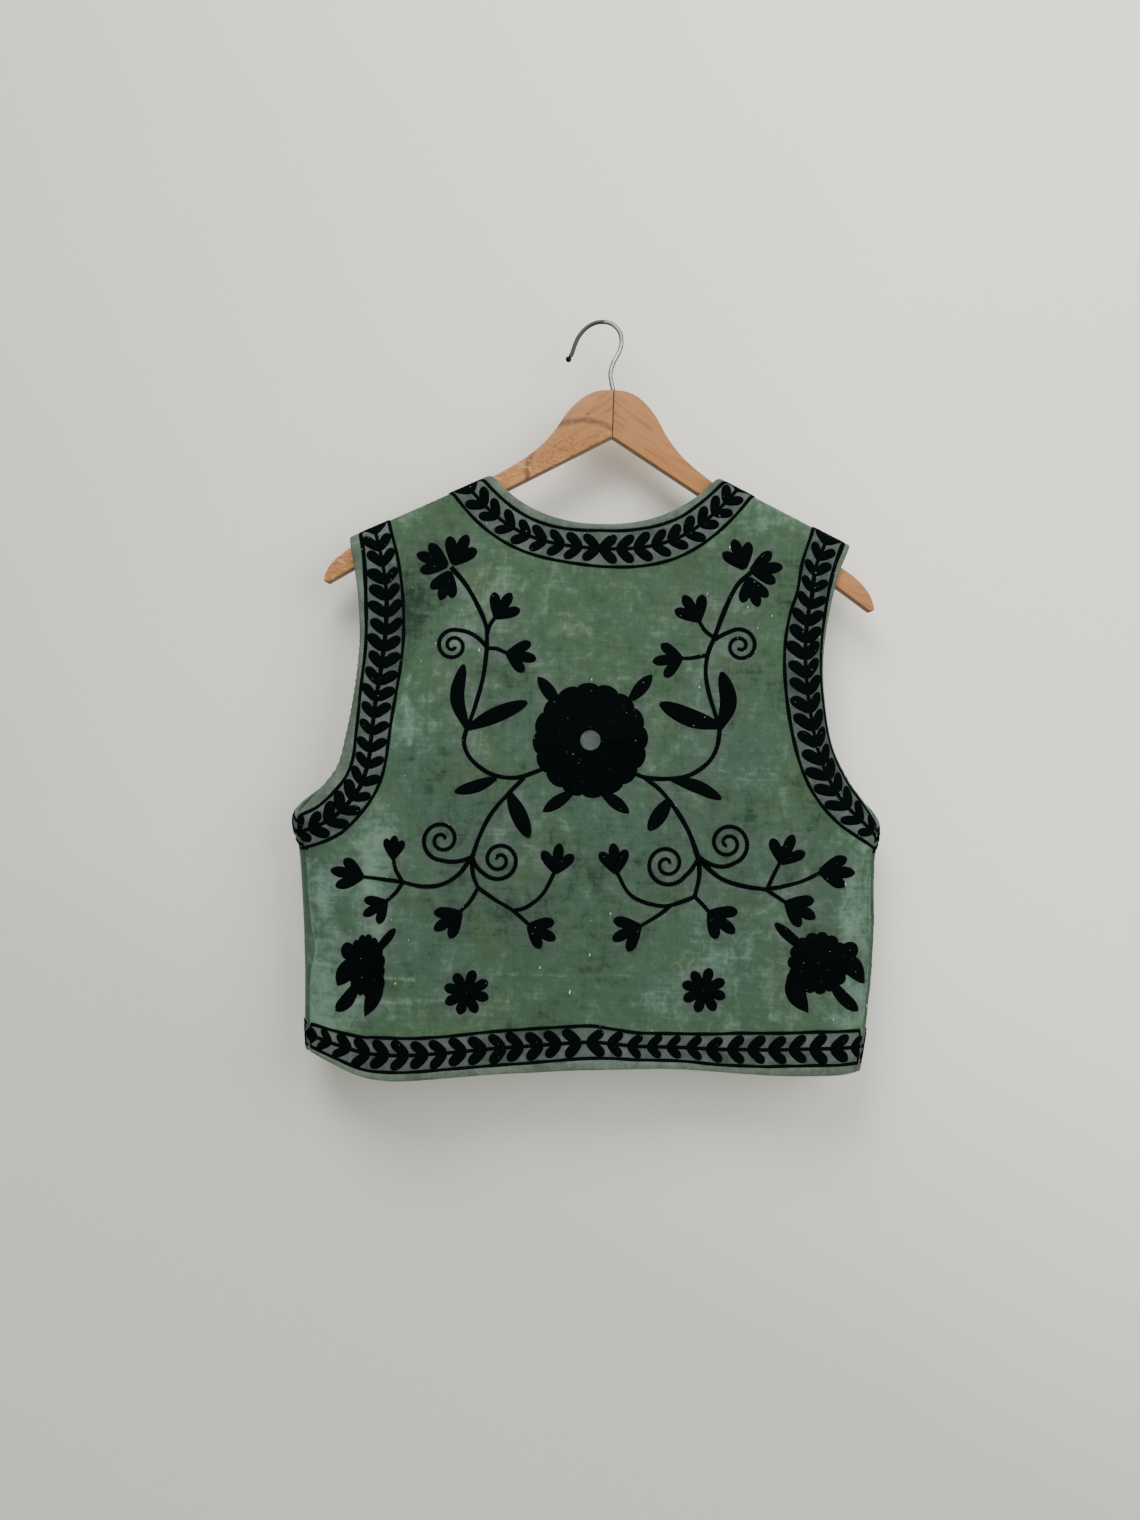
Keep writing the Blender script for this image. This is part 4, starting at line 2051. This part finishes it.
@dataclass
class BorderWork:
    """Embroidered borders of one face: two lines and a vine of paired leaves."""

    form: ClothForm
    borders: Borders
    face: Face
    sides: tuple[Side, ...]
    line_width: float = 2.6
    stem_width: float = 2.9
    end_width: float = 1.5
    half_band: float = 12.6
    reach: float = 40.0
    overlap: float = 0.6
    hem_start: float = 5.5

    def kept(self, points: Array, mask: Array) -> list[Array]:
        """Stretches of a line where a mask holds, at least three points long.

        Args:
            points: points of the line.
            mask: true where it is kept.

        Returns:
            The stretches.
        """
        cuts = np.flatnonzero(np.diff(mask.astype(int))) + 1
        return [part for part, inside in zip(np.split(points, cuts), np.split(mask, cuts))
                if inside[0] and len(part) > 2]

    def stitch_line(self, needle: Needle, points: Array, mask: Array, width: float) -> None:
        """Stitch a line where the mask holds.

        Args:
            needle: the needle.
            points: points of the line.
            mask: true where the line is stitched.
            width: width of the line.
        """
        for part in self.kept(points, mask):
            route = walk(part, FINE)
            wide = width * (1.0 + 0.12 * np.sin(along(route) / 4.7))
            needle.cord(route, wide, 0.85)

    def stitch_vine(self, needle: Needle, middle: Array, half: Array, growth: int,
                    mask: Array, pair: LeafPair) -> None:
        """Stitch a stem with leaf pairs that open in its direction of growth.

        Args:
            needle: the needle.
            middle: points of the stem.
            half: half the width of the border at each point.
            growth: 1 where the vine grows along the line, and -1 where it grows against it.
            mask: true where the line is stitched.
            pair: sizes of a leaf pair.
        """
        for part in self.kept(np.column_stack([middle, half]), mask):
            line, reach = part[:, :2], part[:, 2]
            route = walk(line, FINE)
            needle.cord(route, self.stem_width, 0.85)
            run = along(line)
            size = np.minimum(1.12, reach / self.half_band)
            step = np.diff(run) / np.minimum(1.0, (size[1:] + size[:-1]) / 1.84) ** 0.7
            paced = np.r_[0.0, np.cumsum(step)]
            places = np.arange(pair.lead, paced[-1] - 0.5, pair.pitch)
            tangent = unit(np.gradient(line, axis=0))
            for place in places + needle.hand.uniform(-0.7, 0.7, len(places)):
                base, way = (np.array([np.interp(place, paced, table[:, axis]) for axis in range(2)])
                             for table in (line, tangent))
                ahead = place if growth < 0 else paced[-1] - place
                room = min(1.0, max(0.7, ahead / (0.75 * pair.length)))
                full = room * float(np.interp(place, paced, size))
                self.stitch_pair(needle, base, way * growth, pair, full)

    def stitch_pair(self, needle: Needle, base: Array, way: Array, pair: LeafPair,
                    size: float) -> None:
        """Stitch one pair of blunt leaves that meet in a round foot on the stem.

        Args:
            needle: the needle.
            base: cloth point at the foot.
            way: direction of growth.
            pair: sizes of a leaf pair.
            size: share of the full size.
        """
        side = np.array([-way[1], way[0]])
        for turn in (-1.0, 1.0):
            angle = math.radians(pair.angle + needle.hand.uniform(-4.0, 4.0))
            length = pair.length * size * needle.hand.uniform(0.94, 1.06)
            tip = base + (way * math.cos(angle) + side * turn * math.sin(angle)) * length
            bend = angle * 1.12
            via = base + (way * math.cos(bend) + side * turn * math.sin(bend)) * length * 0.5
            width = pair.width * size * needle.hand.uniform(0.95, 1.07)
            needle.leaf(base - way * 1.1, tip, width, via, peak=0.62, waist=0.62, rise=0.95,
                        point=0.42, swell=0.5)

    def stitch(self, needle: Needle) -> None:
        """Stitch every border of the face.

        Args:
            needle: the needle.
        """
        form = self.form
        for side in self.sides:
            start = form.neck_middle + side * (form.gap_half + form.gap_spread)
            if self.face == Face.BACK:
                start = self.hem_start
            for edge, growth in zip(Edge, (int(self.face), -1, 1)):
                run = form.run(edge, self.face, side, start)
                self.stitch_edge(needle, edge, side, run, growth)

    def stitch_edge(self, needle: Needle, edge: Edge, side: Side, run: EdgeRun,
                    growth: int) -> None:
        """Stitch the two lines, the vine and the end lines of one edge.

        Args:
            needle: the needle.
            edge: the kind of edge.
            side: left or right.
            run: its stretch.
            growth: 1 where the vine grows along the line, and -1 where it grows against it.
        """
        low, high = self.borders.lines(edge, run, side)
        outer, inner, middle = (run.inset(place) for place in (low, high, (low + high) / 2.0))
        clear = [self.clear_of_others(points, run, side, share)
                 for points, share in ((outer, 0.0), (inner, 1.0), (middle, 0.55))]
        ends = [-2] if edge == Edge.HEM else [1]
        if edge == Edge.ARMHOLE and np.abs(run.inward[-1]).max() <= 0.99:
            ends = [1, -2]
        for end in ends:
            for mask in clear[:2]:
                mask[0 if end > 0 else -1] = False
        self.stitch_line(needle, outer, clear[0], self.line_width)
        self.stitch_line(needle, inner, clear[1], self.line_width)
        self.stitch_vine(needle, middle, (high - low) / 2.0, growth, clear[2], PAIRS[edge][side > 0])
        if edge == Edge.HEM and run.face == Face.FRONT:
            return
        for end in ends:
            cap = np.linspace(outer[end], inner[end], 30)
            width = self.end_width if edge == Edge.HEM else self.line_width
            self.stitch_line(needle, cap, np.ones(len(cap), dtype=bool), width)

    def clear_of_others(self, points: Array, run: EdgeRun, side: Side, share: float) -> Array:
        """Where points on a front lie inward of the other edges' lines.

        Args:
            points: cloth points.
            run: the edge that they belong to.
            side: left or right.
            share: place between the other edges' lines, 0 at the outer one.

        Returns:
            True for each point that is clear.
        """
        mask = np.ones(len(points), dtype=bool)
        if run.face == Face.FRONT:
            for other, low, high in self.borders.runs(run.face, side)[::2]:
                if nearest(run.points, other.points).max() > self.reach:
                    line = other.inset(low + (high - low) * share)
                    mask &= side_of_line(points, line, other.inward) > -self.overlap
        return mask


@dataclass(frozen=True)
class Vest:
    """The vest: velvet panels, folded bindings and embroidery."""

    form: ClothForm = ClothForm()
    line_clear: float = 0.9
    least_width: float = 2.7
    hem_over: float = 7.3

    def build(self) -> None:
        """Build every piece of the vest."""
        borders = Borders(self.form)
        velvet = Velvet().build()
        edging = Velvet("velvet_binding", cloud=0.6).build()
        sewn, pressed = self.embroider(borders, Thread().build())
        self.bind(borders, edging)
        for name, face, sides in PANELS:
            panel = Panel(self.form, borders, f"{name}_cloth", face, sides, pressed[name])
            panel.build(velvet, f"{name}_panel", sewn[name])

    def embroider(self, borders: Borders,
                  thread: Material) -> tuple[dict[str, list[Piece]], dict[str, Array]]:
        """Stitch the motifs and the borders.

        Args:
            borders: places of the borders' lines.
            thread: the material of the stitching.

        Returns:
            The pieces and the points where the pile is pressed, by panel.
        """
        left = FRONT_SPRIG.mirrored("sprig_front_left", 4.0)
        motifs = {
            "back": {
                **{sprig.name: (sprig,) for sprig in SPRIGS},
                "rosette": (Rosette(),),
                "hem_flowers": (
                    StarFlower((-88.0, -540.2)), StarFlower((99.6, -531.4)),
                    Carnation(Side.LEFT, (-167.6, -518.8), 0.62, (-1.5, -42.0), (32.0, -19.0)),
                    Carnation(Side.RIGHT, (188.8, -503.4)),
                ),
            },
            "front_left": {left.name: (left,)},
            "front_right": {FRONT_SPRIG.name: (FRONT_SPRIG,)},
        }
        sewn, pressed = {}, {}
        for name, face, _ in PANELS:
            sewn[name], points = [], []
            for title, parts in motifs[name].items():
                needle = Needle(self.form, face)
                for part in parts:
                    part.stitch(needle)
                sewn[name].append(needle.build(title, thread))
                points += needle.points
            pressed[name] = np.vstack(points)[::2]
        for name, face, sides in PANELS:
            needle = Needle(self.form, face)
            BorderWork(self.form, borders, face, sides).stitch(needle)
            sewn[name].append(needle.build(f"border_{name}", thread))
        return sewn, pressed

    def bind(self, borders: Borders, edging: Material) -> None:
        """Fold the bindings over the edges, as wide as the strip outside the outer line.

        Args:
            borders: places of the borders' lines.
            edging: the material of the bindings.
        """
        form, middle = self.form, self.form.neck_middle
        reach = form.gap_half + form.gap_spread + self.hem_over

        def strip(edge: Edge, face: Face, side: Side, back: bool) -> tuple[EdgeRun, Array]:
            """Pair an edge with its binding's width.

            Args:
                edge: the kind of edge.
                face: back or front.
                side: left or right.
                back: whether it is walked backward.

            Returns:
                The edge and the width.
            """
            start = middle + side * reach if face == Face.FRONT else middle
            run = form.run(edge, face, side, start)
            width = np.maximum(self.least_width, borders.lines(edge, run, side)[0] - self.line_clear)
            return (run.reversed(), width[::-1]) if back else (run, width)

        halves = ((Face.FRONT, Side.LEFT), (Face.BACK, Side.LEFT), (Face.BACK, Side.RIGHT),
                  (Face.FRONT, Side.RIGHT))
        for edge, first in ((Edge.NECK, 0), (Edge.HEM, 1)):
            runs = [strip(edge, *half, index % 2 == first) for index, half in enumerate(halves)]
            name = edge.value
            Binding(form, f"{name}_edging", f"{name}_binding", runs, False).build(edging)
        for side, pull in ((Side.LEFT, (20.0, 160.0, 0.85)), (Side.RIGHT, (20.0, 60.0, 0.20))):
            runs = [strip(Edge.ARMHOLE, face, side, face == Face.BACK) for face in Face]
            name = side.name.lower()
            Binding(form, f"armhole_edging_{name}", f"armhole_binding_{name}", runs, True,
                    pull=(pull,)).build(edging)


@dataclass(frozen=True)
class HangerArm:
    """Flat wooden arm sawn to an outline, with its long edges eased."""

    side: Side
    middle: float = 10.8
    stretch: float = 1.0
    tilt: float = 0.0
    joint: float = 0.05
    peak: float = -53.2
    crotch: float = -91.8
    thick: float = 11.0
    edge: float = 1.5
    top: Route = (
        (12, -54.6), (23, -60), (35, -72.2), (46, -89.6), (59, -104.6), (76, -118), (99, -132.2),
        (150, -161), (196, -188.4), (210, -198.5), (218, -208), (221.5, -216.5), (221.5, -220),
        (218, -221.5),
    )
    foot: Route = ((218, -221.5), (195, -206.4), (100, -150))

    def outline(self) -> tuple[Array, Array]:
        """Closed outline of the arm and its directions into the wood.

        Returns:
            The points, as distance out from the joint and height, and the directions.
        """
        peak, crotch = (self.joint, self.peak), (self.joint, self.crotch)
        parts = (smooth_route((peak, *self.top), 1.5), walk(np.array([*self.foot, crotch]), 3.0),
                 walk(np.array([crotch, peak]), 3.0))
        points = np.vstack([part[:-1] for part in parts])
        runs = np.roll(points, -1, axis=0) - np.roll(points, 1, axis=0)
        inward = unit(np.column_stack([runs[:, 1], -runs[:, 0]]))
        inward[points[:, 0] < self.joint + 0.01, 0] = 0.35
        return points, inward

    def build(self) -> Piece:
        """Saw the arm and ease its edges.

        Returns:
            The new piece, which stands for its CAD node.
        """
        points, inward = self.outline()
        turn = np.linspace(0.0, math.pi / 2.0, 5)
        inset = self.edge * (1.0 - np.sin(turn))
        depth = self.thick / 2.0 - self.edge * (1.0 - np.cos(turn))
        rings = list(zip(inset, -depth)) + list(zip(inset[::-1], depth[::-1]))
        placed = []
        soiled = []
        below = np.clip(inward[:, 1], 0.0, 1.0) * (points[:, 0] > self.joint + 0.01)
        seam = np.where(points[:, 0] < self.joint + 0.01, 0.9, 0.0)
        for gap, away in rings:
            ring = points + inward * gap
            across = self.middle + self.side * self.stretch * ring[:, 0]
            height = ring[:, 1] + self.tilt * ring[:, 0] / self.top[-1][0]
            placed.append(np.column_stack([across, np.full(len(ring), away), height]))
            soiled.append(np.maximum(0.92 * below, seam) * (1.0 - (gap / self.edge) ** 2.5))
        faces = ring_faces(len(rings), len(points), False)
        if self.side == Side.LEFT:
            faces = [face[::-1] for face in faces]
        name = self.side.name.lower()
        arch = (-0.0100, -0.1275, 0.0484) if self.side == Side.LEFT else None
        fall = -self.side * math.radians(30.5)
        wood = Wood(f"wood_{name}", fall, arch).build()
        piece = new_piece(f"arm_{name}", np.vstack(placed) * MM, faces, wood, 35.0)
        store(piece, "soiled", np.concatenate(soiled))
        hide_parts(f"hanger_arm_{name}")
        return piece


@dataclass(frozen=True)
class Hook:
    """Hook of round wire, bent in the plane of the hanger."""

    wire: float = 3.5
    segments: int = 14
    route: Route = (
        (10.8, -54.8), (8.4, -45), (7.6, -38.4), (9.8, -30), (13.6, -22), (15.5, -14.6), (14.4, -6.8),
        (10.6, -1.4), (5.6, 1.6), (0, 2.4), (-6.6, 1.2), (-13.2, -2.8), (-18.6, -9.2), (-21.8, -16.2),
        (-24, -23.6), (-25.4, -26.4),
    )

    def build(self) -> Piece:
        """Bend the wire.

        Returns:
            The new piece, which stands for its CAD node.
        """
        route = smooth_route(self.route, FINE)
        way = square_to(route)
        turn = np.linspace(0.0, 2.0 * math.pi, self.segments, endpoint=False)
        flat = route[:, None] + way[:, None] * (np.cos(turn) * self.wire / 2.0)[None, :, None]
        away = np.broadcast_to(np.sin(turn) * self.wire / 2.0, flat.shape[:2])
        points = np.dstack([flat[:, :, 0], away, flat[:, :, 1]]).reshape(-1, 3)
        faces = ring_faces(len(route), self.segments, False)
        steel = Steel("hook_wire_steel", split=0.005).build()
        piece = new_piece("hook", points * MM, faces, steel, 40.0)
        flank = np.clip((np.abs(np.cos(turn)) - 0.38) / 0.30, 0.0, 0.95)
        store(piece, "flank", np.tile(flank, len(route)))
        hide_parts("hook_wire")
        return piece


@dataclass(frozen=True)
class Hanger:
    """Wooden hanger of two arms, with its wire hook and the ball on the hook's end."""

    arms: tuple[HangerArm, ...] = (HangerArm(Side.LEFT, stretch=1.028, tilt=3.6),
                                   HangerArm(Side.RIGHT, stretch=0.976, tilt=-3.0))
    hook: Hook = Hook()

    def build(self) -> None:
        """Build the arms and the hook, and blacken the ball."""
        for part in (*self.arms, self.hook):
            part.build()
        black = Steel("hook_ball_steel", (0.03, 0.03, 0.03), (0.012, 0.012, 0.012), 0.35)
        cover("hook_ball", black.build())


def cover(name: str, material: Material) -> None:
    """Put a material in every slot of a CAD node.

    Args:
        name: name of the node.
        material: the material.
    """
    node = bpy.data.objects[name]
    for holder in node.material_slots:
        holder.material = material
    log.info("%s: dressed", name)


@dataclass(frozen=True)
class Studio:
    """Pale wall and floor, soft lights and the camera."""

    wall_y: float = 0.034
    floor_z: float = -1.75
    eye: Triple = (-0.01318, -1.150, -0.3531)
    roll: float = math.radians(2.2)
    lens: float = 33.63

    def plane(self, name: str, corners: Sequence[Sequence[float]],
              material: Material) -> Piece:
        """Make one plane of the stage.

        Args:
            name: its name.
            corners: its four corners.
            material: its material.

        Returns:
            The new plane.
        """
        mesh = bpy.data.meshes.new(name)
        mesh.from_pydata([tuple(corner) for corner in corners], [], [(0, 1, 2, 3)])
        mesh.materials.append(material)
        obj = bpy.data.objects.new(name, mesh)
        bpy.context.scene.collection.objects.link(obj)
        return obj

    def light(self, name: str, place: Sequence[float], target: Sequence[float], size: float,
              power: float, colour: Sequence[float] = (1.0, 1.0, 1.0)) -> None:
        """Hang one soft square light.

        Args:
            name: its name.
            place: where it hangs.
            target: what it points at.
            size: length of its sides.
            power: its power in watts.
            colour: its colour.
        """
        data = bpy.data.lights.new(name, "AREA")
        data.shape, data.size, data.energy, data.color = "SQUARE", size, power, colour
        obj = bpy.data.objects.new(name, data)
        bpy.context.scene.collection.objects.link(obj)
        obj.location = place
        way = Vector(target) - Vector(place)
        obj.rotation_euler = way.to_track_quat("-Z", "Y").to_euler()

    def build(self) -> None:
        """Set the stage, the lights and the camera."""
        y = self.wall_y
        low = self.floor_z
        corners = ((-2.2, y, low), (2.2, y, low), (2.2, y, 1.4), (-2.2, y, 1.4))
        wall = self.plane("wall", corners, Plaster("wall_paint", one_sided=True).build())
        for kind in ("visible_diffuse", "visible_glossy", "visible_transmission", "visible_shadow"):
            setattr(wall, kind, False)
        corners = ((-3.0, -3.0, low), (3.0, -3.0, low), (3.0, 3.0, low), (-3.0, 3.0, low))
        self.plane("floor", corners, Plaster("floor_paint").build())
        middle = (0.0, 0.0, -0.38)
        self.light("key", (-0.55, -1.55, 1.35), middle, 1.1, 46.0, (1.0, 0.99, 0.965))
        self.light("fill", (1.7, -1.8, 0.35), middle, 1.8, 40.0, (1.0, 0.99, 0.96))
        self.light("behind", (0.9, 2.2, 0.8), middle, 1.8, 52.0)
        world = bpy.data.worlds.new("studio")
        bpy.context.scene.world = world
        world.use_nodes = True
        back = world.node_tree.nodes["Background"]
        back.inputs[0].default_value = (0.93, 0.90, 0.84, 1.0)
        back.inputs[1].default_value = 0.55
        self.camera()

    def camera(self) -> None:
        """Stand the camera square to the back, rolled a little."""
        data = bpy.data.cameras.new("camera")
        data.lens, data.sensor_width = self.lens, 36.0
        obj = bpy.data.objects.new("camera", data)
        bpy.context.scene.collection.objects.link(obj)
        cos, sin = math.cos(self.roll), math.sin(self.roll)
        turn = Matrix(((cos, -sin, 0.0), (0.0, 0.0, -1.0), (sin, cos, 0.0)))
        obj.matrix_world = Matrix.Translation(self.eye) @ turn.to_4x4()
        bpy.context.scene.camera = obj


def main() -> None:
    """Dress the vest and its hanger and set the studio."""
    logging.basicConfig(level=logging.INFO, format="%(name)s %(message)s")
    Vest().build()
    Hanger().build()
    Studio().build()


if __name__ == "__main__":
    main()
